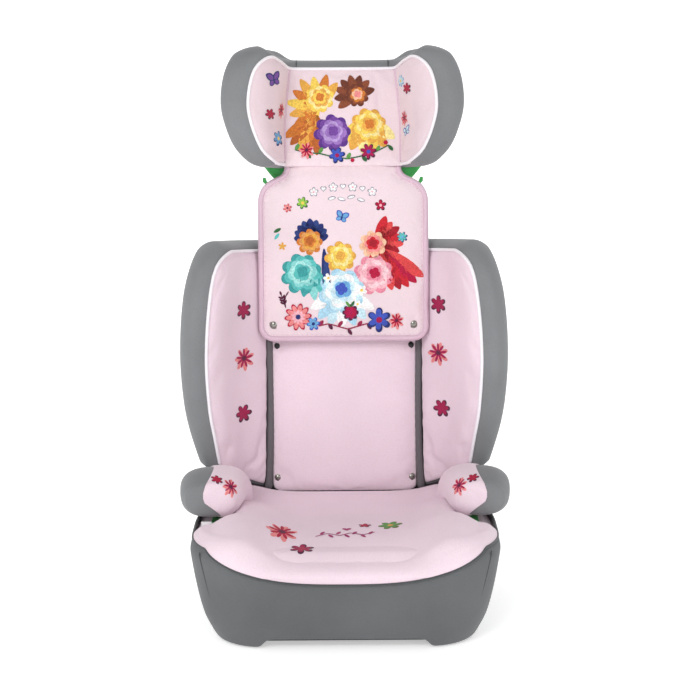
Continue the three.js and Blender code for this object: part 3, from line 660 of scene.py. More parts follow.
def domed_body(name, ring_at, low, high, radius_low, radius_high, levels, sign, tip):
    """Closed grey body from out-and-back rings; both ends are rounded towards the middle line.

    tip says how far, in millimetres, the middle line stops short of each end of the rings."""
    angles = np.radians([4, 14, 26, 40, 55, 72])
    plan = [(low + radius_low * (1 - math.cos(a)), math.sin(a)) for a in angles]
    plan += [(z, 1.0) for z in np.linspace(low + radius_low, high - radius_high, levels)]
    plan += [(high - radius_high * (1 - math.cos(a)), math.sin(a)) for a in angles[::-1]]
    rings = []
    for level, share in plan:
        ring = ring_at(level)
        half = len(ring) // 2
        mid = (ring[:half] + ring[::-1][:half]) / 2
        for end, reach in zip((0, half - 1), tip):
            if reach:
                gaps = np.linalg.norm(mid - mid[end], axis=1)
                keep = half - 1 - np.argmax(gaps[::-1] >= reach) if end else np.argmax(gaps >= reach)
                mid = np.where((gaps < reach)[:, None], mid[keep], mid)
        centre = np.concatenate([mid, mid[::-1]])
        rings.append(centre + (ring - centre) * [share, share, 1])
    return refine(lathe_rows(name, rings, True, GREY, sign))


# ------------------------------------------------------------------ wings of the backrest
WING_SEAM, WING_TIP = 0.25, 0.375


def wing_ring(level):
    inner = [wing_at(WING_TIP * u, level) for u in np.linspace(0, 1, 30)]
    outer = [wing_at(1 - (1 - WING_TIP) * u, level) for u in np.linspace(0, 1, 30)]
    return np.array(inner + outer[::-1])


def wing_top(t):
    return 413 - rounded(t, 0.195, WING_SEAM, 30)


def wing_bottom(t):
    return 109 + rounded(t, 0.225, WING_SEAM, 12)


def build_wing(side, sign):
    cover = domed_body("wing_cover_soft_" + side, wing_ring, WING_LOW - 1, WING_HIGH, 8, 15, 26, sign,
                       (0, 15))
    columns = np.concatenate([np.linspace(0.0, 0.19, 30), spaced(0.195, WING_SEAM, 14, 0.5)])
    points, normals = surface_grid(wing_at, columns, wing_bottom, wing_top, 64)
    panel = pad("wing_panel_soft_" + side, points, normals, PINK, crown=3.0, free_left=True, sign=sign)
    line, bulge = (np.concatenate([grid[-1, 2:-1], grid[::-1, -1][1:]]) for grid in (points, normals))
    piping = tube("wing_piping_soft_" + side, (line + bulge * 1.2) * [sign, 1, 1], 2.3, PIPING,
                  sides=12)
    dress(cover, "backrest", "grey_fabric", "wing_cover_" + side, "wing_foam_" + side, fill=0.7)
    dress(panel, "backrest", "pink_fabric", "wing_panel_" + side, fill=0.5)
    dress(piping, "backrest", "piping", "wing_piping_" + side)
    return panel


# ------------------------------------------------------------------ headrest
HEAD_SEAM, HEAD_FOLD = 0.4, 0.205


def head_fold_cords():
    """Narrow covered cords where the head panels meet at the two folds."""
    for side, sign in SIDES:
        line = np.array([head_at(HEAD_FOLD, level) for level in np.linspace(540, 683, 40)])
        cord = tube("head_fold_cord_" + side, (line - [0, 0.6, 0]) * [sign, 1, 1], 2.1, LILAC)
        dress(cord, "headrest", "pink_fabric")


def head_ring(level, count=40):
    turns = (np.linspace(-0.5, 0.5, 2 * count), np.linspace(0.5, 1, count), np.linspace(-1, -0.5, count))
    return np.array([head_at(t, level) for t in np.concatenate(turns)])


def head_top(t):
    t = abs(t)
    rise = 686 - 3 * (1 - step(t, 0.2, 0.3))
    return rise - rounded(t, 0.335, HEAD_SEAM, 22)


def head_bottom(t):
    t = abs(t)
    return 535 + rounded(t, 0.33, HEAD_SEAM, 20)


def build_head():
    cover = domed_body("head_cover_soft", head_ring, HEAD_LOW - 0.5, HEAD_HIGH, 9, 13, 24, 1, (15, 15))
    middle_t = np.linspace(-HEAD_FOLD, HEAD_FOLD, 44)
    points, normals = surface_grid(head_at, middle_t, lambda t: 532.5, head_top, 44)
    panels = {"middle": pad("head_panel_soft_middle", points, normals, PALE, proud=2.4, crown=1.6,
                            edge=4)}
    side_t = np.concatenate([np.linspace(HEAD_FOLD, 0.33, 26), spaced(0.335, HEAD_SEAM, 12, 0.5)])
    middle_t = np.linspace(-0.008, HEAD_FOLD, 18)
    for side, sign in SIDES:
        grids = surface_grid(head_at, side_t, head_bottom, head_top, 44)
        panels[side] = pad("head_panel_soft_" + side, *grids, PALE, crown=2.4, edge=4, sign=sign)
        middles = surface_grid(head_at, middle_t, lambda t: 532, head_top, 3)
        line, bulge = (np.concatenate([middle[-1, :-1], grid[-1, :-1], grid[::-1, -1], grid[0, -2::-1]])
                       for grid, middle in zip(grids, middles))
        pipe = tube("head_piping_soft_" + side, (line + bulge * 1.1) * [sign, 1, 1], 2.2, PIPING,
                    sides=12)
        dress(pipe, "headrest", "piping", "head_piping_" + side)
    dress(cover, "headrest", "grey_fabric", "head_cover", "head_foam", fill=0.7)
    for key, panel in panels.items():
        dress(panel, "headrest", "pink_fabric", "head_panel_" + key, fill=0.5)
    seams = []
    for x in (-66, 66):
        rows = []
        for level in np.linspace(684, 697, 8):
            _, y, z = head_at(0.165, level)
            rows.append([x, y - 0.6 + rounded(level, 684, 698, 10), z])
        seams.append(tube("seam", rows, 0.8, GREY_THREAD, sides=6))
    dress(join("head_band_seams", seams), "headrest", "grey_fabric")
    return panels


# ------------------------------------------------------------------ back pad and apron
def flat_grid(heights, half_width, depth, columns=46):
    """Points and normals of a flat panel facing the sitter, as wide as half_width says at a height."""
    across = spaced(-1, 1, columns, 0.35)
    points = np.array([[(u * half_width(z), depth, z) for u in across] for z in heights])
    return points, np.broadcast_to(np.array([0.0, -1.0, 0.0]), points.shape).copy()


def dimples(points, panel, depth=2.2, radius=8.0):
    """Hollows pressed into a panel round its snaps."""
    out = np.zeros(points.shape[:2])
    for x, z in [(sign * row[2], row[3]) for row in SNAPS if row[1] == panel for _, sign in SIDES]:
        away = np.hypot(points[..., 0] - x, points[..., 2] - z)
        out -= depth * np.exp(-((away / radius) ** 2))
    return out


# kind of snap; the panel it is pressed into; x and z of the right one; radius; material; slot
SNAPS = [
    ("apron_snap", "apron", 101, 305, 6.4, SILVER, "bright_metal"),
    ("pad_snap_upper", "pad", 97, 272, 5, BLACK_SNAP, "black_snap"),
    ("pad_snap_lower", "pad", 98, 78, 5.4, SILVER, "bright_metal"),
]
PAD_FRONT = -48


def build_pad():
    def half_width(z):
        return 106 - rounded(z, 416, 424, 8) - rounded(-z, -67, -59, 8)

    heights = np.concatenate([[57, 58.5, 61, 64], np.linspace(68, 415, 58), [419, 422, 424]])
    points, normals = flat_grid(heights, half_width, PAD_FRONT)
    body = pad("back_pad_soft", points, normals, PINK, proud=4.5, tuck=2, edge=7, crown=2.5,
               thickness=12, pressure=3, extra=lambda points, near: dimples(points, "pad"))
    dress(body, "backrest", "pink_fabric", "back_pad_foam", "back_pad_cover", fill=0.5)
    for side, sign in SIDES:
        line = [(sign * (109.4 + 0.7 * math.sin(z / 37) + 2.0 * (1 - step(z, 66, 120))),
                 -46.3 + 0.6 * math.sin(z / 23 + sign), z) for z in np.linspace(60, 422, 90)]
        cord = tube("pad_binding_soft_" + side, line, 5.6, BINDING, sides=14, flat=1.3, up=(0, 1, 0))
        dress(cord, "backrest", "grey_fabric", "pad_binding_" + side)
    return body


APRON_TOP, APRON_FLOOR, APRON_FRONT, APRON_CREASE = 535, 280, -78.5, 369
APRON_HALF, APRON_CORNER = 123, 22
# height and half width, from the straight sides up round the shoulder to the neck
APRON_SHOULDER = [(480, APRON_HALF), (487, 122.6), (493, 121), (499, 118.6), (504, 115.4), (508.5, 111),
                  (512.5, 105.5), (515.6, 99.5), (518, 94), (520, 90), (523, 86.4), (527, 84.6),
                  (532, 84), (536, 84)]


def apron_half(z):
    heights, widths = zip(*APRON_SHOULDER)
    if z > 480:
        return float(np.interp(z, heights, widths))
    return APRON_HALF - rounded(-z, -APRON_FLOOR - APRON_CORNER, -APRON_FLOOR, APRON_CORNER)


def apron_edge(inset):
    """The apron's edge from its left neck round the bottom to its right neck, inset millimetres in."""
    arc = APRON_FLOOR + APRON_CORNER * (1 - np.cos(np.linspace(0, math.pi / 2, 12)))
    flat = APRON_HALF - APRON_CORNER
    rise = np.concatenate([arc, np.linspace(306, 478, 44), np.linspace(480, APRON_TOP, 30)])
    right = [(apron_half(z), z) for z in rise]
    floor = [(x, APRON_FLOOR) for x in np.linspace(-flat, flat, 40)[1:-1]]
    path = np.array([(-x, z) for x, z in right[::-1]] + floor + right)
    path = resample(np.column_stack([path, np.zeros(len(path))]), 220)[:, :2]
    along = np.gradient(path, axis=0)
    along /= np.linalg.norm(along, axis=1)[:, None]
    return path + np.column_stack([-along[:, 1], along[:, 0]]) * inset


def build_apron():
    arc = 283 + 19 * (1 - np.cos(np.linspace(0, math.pi / 2, 9)))
    heights = np.concatenate([arc, np.linspace(308, 478, 32), np.linspace(482, APRON_TOP, 18)])

    def shaped(points, near):
        z = points[..., 2] - APRON_CREASE
        fold = -1.3 * np.exp(-((z / 2.2) ** 2)) + 0.6 * np.exp(-(((z - 6) / 4) ** 2))
        return dimples(points, "apron", 2.6) + fold * np.clip(near / 12, 0, 1)

    points, normals = flat_grid(heights, lambda z: apron_half(z) - 3, APRON_FRONT, 50)
    body = pad("apron_soft", points, normals, PALE, proud=4.5, tuck=2, edge=6, crown=1.5,
               thickness=9, cap=3.5, pressure=3, extra=shaped)
    rim = tube("apron_binding", [(x, APRON_FRONT + 1, z) for x, z in apron_edge(4.2)], 4.3, LILAC,
               sides=14, flat=1.7, up=(0, 1, 0))
    dress(body, "headrest", "pink_fabric", "apron", fill=0.4)
    dress(rim, "headrest", "pink_fabric")
    inner = apron_edge(10.0)
    stitches = [(inner[k], inner[k] + (inner[k + 1] - inner[k]) * 0.85)
                for k in range(0, len(inner) - 1, 2) if inner[k][1] < 520]
    dress(stitch_line("apron_stitching", stitches, body), "headrest", "pink_fabric")
    return body


# ------------------------------------------------------------------ laying details on a surface
def tree_of(obj):
    return BVHTree.FromPolygons([v.co for v in obj.data.vertices],
                                [p.vertices for p in obj.data.polygons])


def drop(tree, origin, direction, lift):
    """Where a ray meets a surface, raised by lift metres; None if it misses."""
    hit, normal, _, _ = tree.ray_cast(Vector(origin), Vector(direction))
    if hit is None:
        return None
    if normal.dot(Vector(direction)) > 0:
        normal = -normal
    return hit + normal * lift


def turned(vector, leaning):
    """Direction in the row frame of a direction in the seat's or the backrest's axes."""
    v = world(vector, leaning) - world((0, 0, 0), leaning)
    return Vector(v).normalized()


def stitch_line(name, pairs, target, radius=0.55, sides=6):
    """Short raised stitches laid on the front of a leaning panel; pairs are ends in (x, z)."""
    tree = tree_of(target)
    out = turned((0, -1, 0), True)
    verts, faces = [], []
    for pair in pairs:
        ends = [drop(tree, Vector(world((x, -60, z), True)) + out * 0.08, -out, 0.1 * MM)
                for x, z in pair]
        if None in ends:
            continue
        p, q = ends
        side = (q - p).normalized().cross(out).normalized()
        base = len(verts)
        for at, grow in ((p, 0.3), ((p + q) / 2, 1.0), (q, 0.3)):
            for a in (turn_of(k, sides) for k in range(sides)):
                r = radius * MM * grow
                verts.append(at + side * math.cos(a) * r + out * (math.sin(a) * r * 0.8))
        faces += [tuple(base + i for i in f) for f in quads(3, sides, wrap=True)]
        faces.append(tuple(base + k for k in range(sides)))
        faces.append(tuple(base + 2 * sides + k for k in reversed(range(sides))))
    return solid(name, verts, faces, THREAD)


# ------------------------------------------------------------------ seat, skirt and armrests
def plan_outline(stop):
    """Plan of the base's rim as a path: from stop along the right side, the front, and the left side."""
    path = [(RIM_HALF, y) for y in np.linspace(stop, RIM_FRONT + FRONT_CORNER, 30)[:-1]]
    for a in (k / 24 * math.pi / 2 for k in range(25)):
        path.append((RIM_HALF - FRONT_CORNER + FRONT_CORNER * math.cos(a),
                     RIM_FRONT + FRONT_CORNER - FRONT_CORNER * math.sin(a)))
    path += [(x, RIM_FRONT) for x in np.linspace(RIM_HALF - FRONT_CORNER, 0, 18)[1:]]
    right = np.array(path)
    return np.concatenate([right, right[::-1][1:] * [-1, 1]])


def across_ring(first, n, middle):
    """Faces across a ring that is its own mirror image about point middle."""
    def at(k):
        return first + (middle + k) % n

    faces = [(at(0), at(1), at(-1))]
    return faces + [(at(k), at(k + 1), at(-k - 1), at(-k)) for k in range(1, (n - 1) // 2)]


def taper(x, y, z):
    """A point of the rim moved down the tapering side to another height."""
    _, half, front = station(BASE_ROWS, z)
    ratio = (front - SEAT_CENTRE_Y) / (RIM_FRONT - SEAT_CENTRE_Y) if y < SEAT_CENTRE_Y else 1
    return np.array([x * half / RIM_HALF, SEAT_CENTRE_Y + (y - SEAT_CENTRE_Y) * ratio])


def roll_point(rim, s):
    """Point above the rim's inner side at share s of the way out from the middle of the seat."""
    return np.array([rim[0] * s, SEAT_CENTRE_Y + (rim[1] - SEAT_CENTRE_Y) * s])


def edge_roll(rim):
    """Height where the seat's edge starts to roll over beside a point of the rim, and the roll's depth."""
    top = seat_height(*roll_point(rim, ROLL_START))
    return top, min(ROLL_DEPTH, top - 104)


def roll_angle(top, depth, z):
    return math.acos(min(1, max(0, 1 - (top - z) / depth)))


def roll_share(angle):
    return ROLL_START + (1 - ROLL_START) * math.sin(angle)


def drawn_in(x, y, px, z):
    """Draws the rear sides of the seat a little inside the skirt's top edge."""
    return px * (1 - min(0.018, max(0, seam_height(x) + 1 - z) * 0.006)) if y > 30 else px


def build_seat():
    rim = plan_outline(SEAT_REAR - REAR_CORNER)
    front = (len(rim) - 1) // 2
    corner = [(REAR_CORNER - RIM_HALF - REAR_CORNER * math.cos(a),
               SEAT_REAR - REAR_CORNER + REAR_CORNER * math.sin(a))
              for a in (k / 8 * math.pi / 2 for k in range(1, 9))]
    back_row = [(x, SEAT_REAR) for x in np.linspace(-187, 187, 30)[1:-1]]
    rim = np.concatenate([rim, corner, back_row, [(-x, y) for x, y in corner[::-1]]])
    n = len(rim)
    top_shares = [0.06, 0.16, 0.28, 0.4, 0.52, 0.62, 0.71, 0.78, 0.83]
    roll_rows, side_rows = 12, 6
    rear_seam = 112
    columns = []
    for x, y in rim:
        column = []
        for s in top_shares:
            px, py = roll_point((x, y), s)
            column.append((px, py, seat_height(px, py)))
        top, depth = edge_roll((x, y))
        seam = seam_height(x)
        seam = min(seam + (rear_seam - seam) * step(y, 60, 100), top - 5)
        reach = roll_angle(top, depth, seam)
        for a in (reach * k / (roll_rows - 1) for k in range(roll_rows)):
            z = top - depth * (1 - math.cos(a))
            px, py = roll_point((x, y), roll_share(a))
            column.append((drawn_in(x, y, px, z), py, z))
        last_x, last_y, last_z = column[-1]
        for k in range(1, side_rows + 1):
            if last_z > seam + 0.5:
                z = last_z + (seam - last_z) * k / side_rows
                px, py = taper(x, y, z)
                column.append((drawn_in(x, y, px, z), py, z))
            else:
                tuck = 1 - 0.004 * k
                column.append((last_x * tuck, last_y * tuck, seam - 0.4 * k))
        columns.append(column)
    rings = hollow_arm_space(np.array(columns).transpose(1, 0, 2)[::-1])
    faces = quads(len(rings), n, wrap=True) + across_ring((len(rings) - 1) * n, n, front)
    sheet = new_object("seat_soft", world(rings.reshape(-1, 3), False), faces, PINK)
    outward_open(sheet)
    simulate(sheet, range(n * (side_rows + 5)), cap=3.5, grow=0.008)
    upper = np.array([v.co for v in sheet.data.vertices])
    faces = [tuple(p.vertices) for p in sheet.data.polygons]
    bpy.data.objects.remove(sheet)
    lower = upper[:n].copy()
    lower[:, 2] -= 6 * MM
    lower[:, :2] *= 0.975
    total = len(upper)
    faces += [((i + 1) % n, i, total + i, total + (i + 1) % n) for i in range(n)]
    faces += across_ring(total, n, front)
    whole = refine(solid("seat_soft", np.concatenate([upper, lower]), faces, PINK))
    return dress(whole, "base", "pink_fabric", "seat_cover", "seat_foam", fill=0.7)


def outward_open(sheet):
    """Turns an open bowl-shaped sheet so that its faces look up and out."""
    bm = bmesh.new()
    bm.from_mesh(sheet.data)
    bmesh.ops.recalc_face_normals(bm, faces=bm.faces)
    bm.faces.ensure_lookup_table()
    if bm.faces[-1].normal.z < 0:
        bmesh.ops.reverse_faces(bm, faces=bm.faces)
    bm.to_mesh(sheet.data)
    bm.free()


def hollow_arm_space(rings):
    """Lowers the cushion under the armrests to the floor of the belt slot."""
    slot_floor = 132
    out = rings.copy()
    x, y, z = np.abs(out[..., 0]), out[..., 1], out[..., 2]
    under = step(x, 146, 160) * step(y, -108, -92)
    out[..., 2] = np.where(z > slot_floor, z + (slot_floor - z) * under, z)
    return out


def arch_height(x, y):
    """Height of the base's lower edge: lifted between the front feet."""
    lift = 1 - step(abs(x), 120, 142)
    return 2 + 12 * lift * step(-y, 120, 150)


def build_skirt():
    path = plan_outline(136)
    n = len(path)
    shares = np.concatenate([[0, 0.012, 0.04], np.linspace(0.1, 1, 24)])
    turned_under = (2.6, 0.9, 0.2)
    thickness = 2.95

    def side(x, y, z, skin):
        """Point of the side, skin millimetres inside its outer face."""
        px, py = taper(x, y, z)
        d = np.array([px / RIM_HALF, (py - SEAT_CENTRE_Y) / 160 if y < SEAT_CENTRE_Y + 40 else 0])
        d /= np.linalg.norm(d) or 1
        return np.array([px, py]) - d * skin

    outer, inner = [], []
    for k, s in enumerate(shares):
        row_out, row_in = [], []
        for x, y in path:
            low = arch_height(x, y)
            top, depth = edge_roll((x, y))
            z = low + (min(seam_height(x), top - 5) - low) * s
            share = 1
            if z > top - depth and y < SEAT_REAR - REAR_CORNER:
                share = roll_share(roll_angle(top, depth, z))
            skin = (turned_under[k] if k < len(turned_under) else 0) + 2.2 * step(s, 0.93, 1.0)
            row_out.append((*roll_point(side(x, y, z, skin), share), z))
            row_in.append((*roll_point(side(x, y, z, thickness), share), z - (1.5 if share < 1 else 0)))
        outer.append(row_out)
        inner.append(row_in)
    rings = np.array(outer + inner[::-1])
    rows = len(rings)
    faces = quads(rows, n)
    faces += [((rows - 1) * n + i, (rows - 1) * n + i + 1, i + 1, i) for i in range(n - 1)]
    for end in (0, n - 1):
        faces += [tuple(r * n + end for r in (k, k + 1, rows - 2 - k, rows - 1 - k))
                  for k in range(len(shares) - 1)]
    cord = []
    for x, y in path[path[:, 1] < 58]:
        top, depth = edge_roll((x, y))
        z = min(seam_height(x), top - 5)
        share = roll_share(roll_angle(top, depth, z)) if z > top - depth else 1
        cord.append((*roll_point(taper(x, y, z), share), z - 0.6))
    seams = [tube("seat_seam_cord", cord, 1.7, GREY_THREAD, False, sides=8)]
    for name, sign in SIDES:
        line = []
        for z in np.linspace(9, 133, 40):
            _, half, front = station(BASE_ROWS, z)
            x = 160 + 34 * min(1, z / 128) ** 0.85
            c = min(1, max(-1, (x - half + FRONT_CORNER) / FRONT_CORNER))
            y = front + FRONT_CORNER - FRONT_CORNER * math.sqrt(1 - c * c) + 0.2
            line.append((sign * x, y, z))
        seams.append(tube("skirt_seam_" + name, line, 1.2, GREY_THREAD, False, sides=8))
    for piece in seams:
        dress(piece, "base", "grey_fabric")
    # the skirt takes the darker copy of the grey knit, which is painted shade
    skirt = refine(solid("seat_skirt_soft", world(rings.reshape(-1, 3), False), faces, SKIRT_SHADED_GREY))
    dress(skirt, "base", "grey_fabric", "seat_skirt", fill=0.4)


def arm_ring(t, count=44):
    """Ring of an armrest at station t; past station 6 the rings close over its front end."""
    a = max(0, t - 6) * math.pi / 2
    _, cx, cy, cz, hx, hz, lean = station(ARM_ROWS, min(t, 5.65))
    close = math.cos(a * 0.985)
    cy -= 11.5 * math.sin(a)
    ring = []
    for a in (turn_of(k + 0.5, count) for k in range(count)):
        u = bowed(math.cos(a), 0.8) * hx * close
        v = bowed(math.sin(a), 0.8) * hz * close
        ring.append((cx + u, cy + v * math.sin(lean), cz + v * math.cos(lean)))
    return np.array(ring)


ARM_SEAM_X = 193.8


def build_armrest(side, sign):
    stops = np.concatenate([np.linspace(0, 5.6, 40), 6 + np.linspace(0.02, 1, 10)])
    cover = refine(lathe_rows("armrest_cap_soft_" + side, [arm_ring(t) for t in stops], False, GREY, sign,
                              ladder=False))
    bm = bmesh.new()
    bm.from_mesh(cover.data)
    # the panel is what is left of the cover inside these planes, given as a point and a direction
    for at, away in (((ARM_SEAM_X, 0, 0), (1, 0, 0)),
                     ((ARM_SEAM_X - 4, 0, 200), (0.8, 0, 0.6)),
                     ((ARM_SEAM_X - 1.2, 0, 193), (0.95, 0, 0.31)),
                     ((ARM_SEAM_X - 1.2, -95, 180), (0.95, -0.1, -0.3)),
                     ((ARM_SEAM_X - 4, -95, 174), (0.75, -0.2, -0.65)),
                     ((178, -92, 167), (0.7, -0.5, -1)),
                     ((0, 60, 0), (0, 1, 0))):
        bmesh.ops.bisect_plane(bm, geom=bm.verts[:] + bm.edges[:] + bm.faces[:],
                               plane_co=Vector(world(np.multiply(at, (sign, 1, 1)), False)),
                               plane_no=Vector(np.multiply(away, (sign, 1, 1))).normalized(),
                               clear_outer=True)
    panel = padded_region(bm, "armrest_panel_soft_" + side, PINK)
    dress(cover, "base", "grey_fabric", "armrest_cap_" + side, fill=0.6)
    return dress(panel, "base", "pink_fabric", "armrest_panel_" + side, fill=0.6)


def padded_region(bm, name, material, proud=2.2, crown=2.0, lowest=1.5, edge=4.5, thickness=3.0):
    """Closed pad over an open cut-out of another surface; lowest is how proud its border stands."""
    mesh = bpy.data.meshes.new(name)
    bm.to_mesh(mesh)
    bm.free()
    bm = bmesh.new()
    bm.from_mesh(mesh)
    bmesh.ops.remove_doubles(bm, verts=bm.verts, dist=1e-4)
    bm.normal_update()
    verts = list(bm.verts)
    index = {v: i for i, v in enumerate(verts)}
    border = np.array([v.co for v in verts if v.is_boundary])
    far = [np.min(np.linalg.norm(border - np.array(v.co), axis=1)) / MM for v in verts]
    widest = max(far)
    top, under = [], []
    for v, d in zip(verts, far):
        lift = lowest + (proud - lowest) * (1 - math.exp(-d / edge)) + crown * (d / widest) ** 0.7
        top.append(v.co + v.normal * lift * MM)
        under.append(v.co - v.normal * thickness * MM)
    faces = [tuple(index[v] for v in f.verts) for f in bm.faces]
    held = [index[v] for v in verts if v.is_boundary]
    loops = [(index[e.verts[0]], index[e.verts[1]]) for e in bm.edges if e.is_boundary]
    bm.free()
    sheet = new_object(name, top, faces, material)
    simulate(sheet, held, cap=2.5, grow=0.01, give=0)
    upper = [v.co.copy() for v in sheet.data.vertices]
    bpy.data.objects.remove(sheet)
    n = len(upper)
    closed = faces + [tuple(n + i for i in reversed(f)) for f in faces]
    closed += [(b, a, a + n, b + n) for a, b in loops]
    return solid(name, upper + under, closed, material)


# ------------------------------------------------------------------ prints
# Every print is a list of shapes (centre, outline, colour, layer) in millimetres on a flat frame that
# is then laid on a panel: only flowers, leaves, hearts and butterflies.
PLUM, MAGENTA, CRIMSON, SALMON, ROSE = "5a2440", "a8194f", "b3173f", "ea8c8c", "f0b3bd"
BLUE, NAVY, SKY, TEAL, ICE = "4257b8", "26336f", "6ea9d8", "5cbcb8", "c6e4ee"
VIOLET, LILAC_INK, GOLD, YELLOW, AMBER = "74489c", "b79bd3", "e3a94c", "f3cf5c", "cf7a35"
LEAF, DEEP_LEAF, BROWN, WHITE, RED = "5f9a4c", "33663d", "6d3a2b", "f6f4f4", "cb2733"


def outline_of(count, point):
    return [point(turn_of(k, count)) for k in range(count)]


def rosette(x, z, radius, petals, colour, layer, inner=0.45, power=0.7, turn=0.0, squash=1.0):
    """Flower whose petals reach from share inner of the radius to all of it."""
    def point(a):
        r = radius * (inner + (1 - inner) * abs(math.cos(petals * (a - turn) / 2)) ** power)
        return x + r * math.cos(a), z + r * squash * math.sin(a)

    return [((x, z), outline_of(petals * 8, point), colour, layer)]


def leaf(x, z, angle, length, width, colour, layer):
    """Pointed leaf that starts at (x, z)."""
    c, s = math.cos(angle), math.sin(angle)

    def point(a):
        along = length * (0.5 - 0.5 * math.cos(a))
        off = width / 2 * bowed(math.sin(a), 1.3)
        return x + along * c - off * s, z + along * s + off * c

    return [((x + length / 2 * c, z + length / 2 * s), outline_of(20, point), colour, layer)]


def fan(x, z, start, turn, lengths, width, colours, layer):
    """Leaves that spread from (x, z), one for each length, in colours that take turns."""
    shapes = []
    for k, length in enumerate(lengths):
        shapes += leaf(x, z, start + turn * k, length, width, colours[k % len(colours)], layer)
    return shapes


def ribbon(points, width, colour, layer):
    """Thin stem through points, in short overlapping pieces."""
    points = np.array([(x, 0, z) for x, z in points], float)
    path = resample(points, max(3, int(path_length(points) / 4)))
    shapes = []
    for a, b in zip(path[:-1], path[1:]):
        along = math.atan2(b[2] - a[2], b[0] - a[0])
        shapes += leaf(a[0] - 1.2 * math.cos(along), a[2] - 1.2 * math.sin(along), along,
                       math.hypot(b[0] - a[0], b[2] - a[2]) + 2.4, width, colour, layer)
    return shapes


def garland(stem, stalk, angles, colours, layer):
    """Stem with one small leaf at each of its points."""
    shapes = ribbon(stem, 2.0, stalk, layer)
    for k, (x, z) in enumerate(stem):
        shapes += leaf(x, z, angles[k % 2], 10, 5.4, colours[k % 2], layer)
    return shapes


def heart(x, z, size, colour, layer):
    def point(a):
        pz = 13 * math.cos(a) - 5 * math.cos(2 * a) - 2 * math.cos(3 * a) - math.cos(4 * a)
        return x + size * math.sin(a) ** 3 / 2, z + size * (pz + 2) / 32

    return [((x, z), outline_of(28, point), colour, layer)]


def bloom(x, z, radius, petals=6, colours=(PLUM, MAGENTA), centre=None, turn=0.3, layer=1):
    """Open flower: darker rim, petals and a stamen dot."""
    shapes = rosette(x, z, radius, petals, colours[0], layer, 0.34, 0.55, turn)
    shapes += rosette(x - radius * 0.05, z + radius * 0.06, radius * 0.82, petals, colours[1], layer + 1,
                      0.36, 0.6, turn)
    if centre:
        shapes += rosette(x, z, radius * 0.26, 8, centre, layer + 2, 0.8, 1, 0)
    return shapes


def brush_daisy(x, z, radius, layer=1, dark=CRIMSON, light=SALMON, turn=0.2):
    """Loose many-petalled flower over a paler, larger one."""
    shapes = rosette(x, z - radius * 0.12, radius * 1.12, 7, light, layer, 0.28, 1.1, turn + 0.2, 1.12)
    shapes += rosette(x, z, radius * 0.92, 9, dark, layer + 1, 0.26, 1.2, turn, 1.1)
    return shapes + rosette(x, z, radius * 0.3, 7, PLUM, layer + 2, 0.5, 1, 0)


def peony(x, z, radius, colours, layer=1, turn=0.0):
    """Full blossom of nested petal rings, darker towards the heart of each ring."""
    shapes = []
    for k, colour in enumerate(colours):
        share = 1 - k / len(colours) * 0.86
        shapes += rosette(x + radius * 0.03 * (k % 3 - 1), z + radius * 0.02 * k, radius * share,
                          max(4, 8 - k), colour, layer + k, 0.72, 0.6, turn + 0.45 * k)
    return shapes


def butterfly(x, z, size, wing, rim, layer=1, tilt=0.0):
    shapes = []
    for side in (-1, 1):
        for angle, length, width in ((0.75, 1.0, 0.72), (-0.6, 0.72, 0.58)):
            a = math.pi / 2 - side * (math.pi / 2 - angle) + tilt
            shapes += leaf(x, z, a, size * length, size * width, rim, layer)
            shapes += leaf(x + math.cos(a) * size * 0.12, z + math.sin(a) * size * 0.12, a,
                           size * length * 0.74, size * width * 0.66, wing, layer + 1)
    a = math.pi / 2 + tilt
    return shapes + leaf(x - math.cos(a) * size * 0.4, z - math.sin(a) * size * 0.4, a, size * 0.9,
                         size * 0.14, NAVY, layer + 2)


def spray(x, z, angle, size, colour, layer=1, pairs=3):
    """Stem with paired leaves and one at its tip."""
    c, s = math.cos(angle), math.sin(angle)
    shapes = ribbon([(x, z), (x + c * size, z + s * size)], size * 0.07, colour, layer)
    leaves = [(size * (0.25 + 0.6 * k / pairs), turn) for k in range(pairs) for turn in (0.8, -0.8)]
    for at, turn in leaves + [(size * 0.9, 0)]:
        shapes += leaf(x + c * at, z + s * at, angle + turn, size * 0.34, size * 0.16, colour, layer)
    return shapes


def wide(ratio, make, x, *rest):
    """A shape made at x and widened about x, for cloth seen at a slant."""
    def moved(p):
        return x + (p[0] - x) * ratio, p[1]

    return [(moved(c), [moved(q) for q in outline], code, layer)
            for c, outline, code, layer in make(x, *rest)]


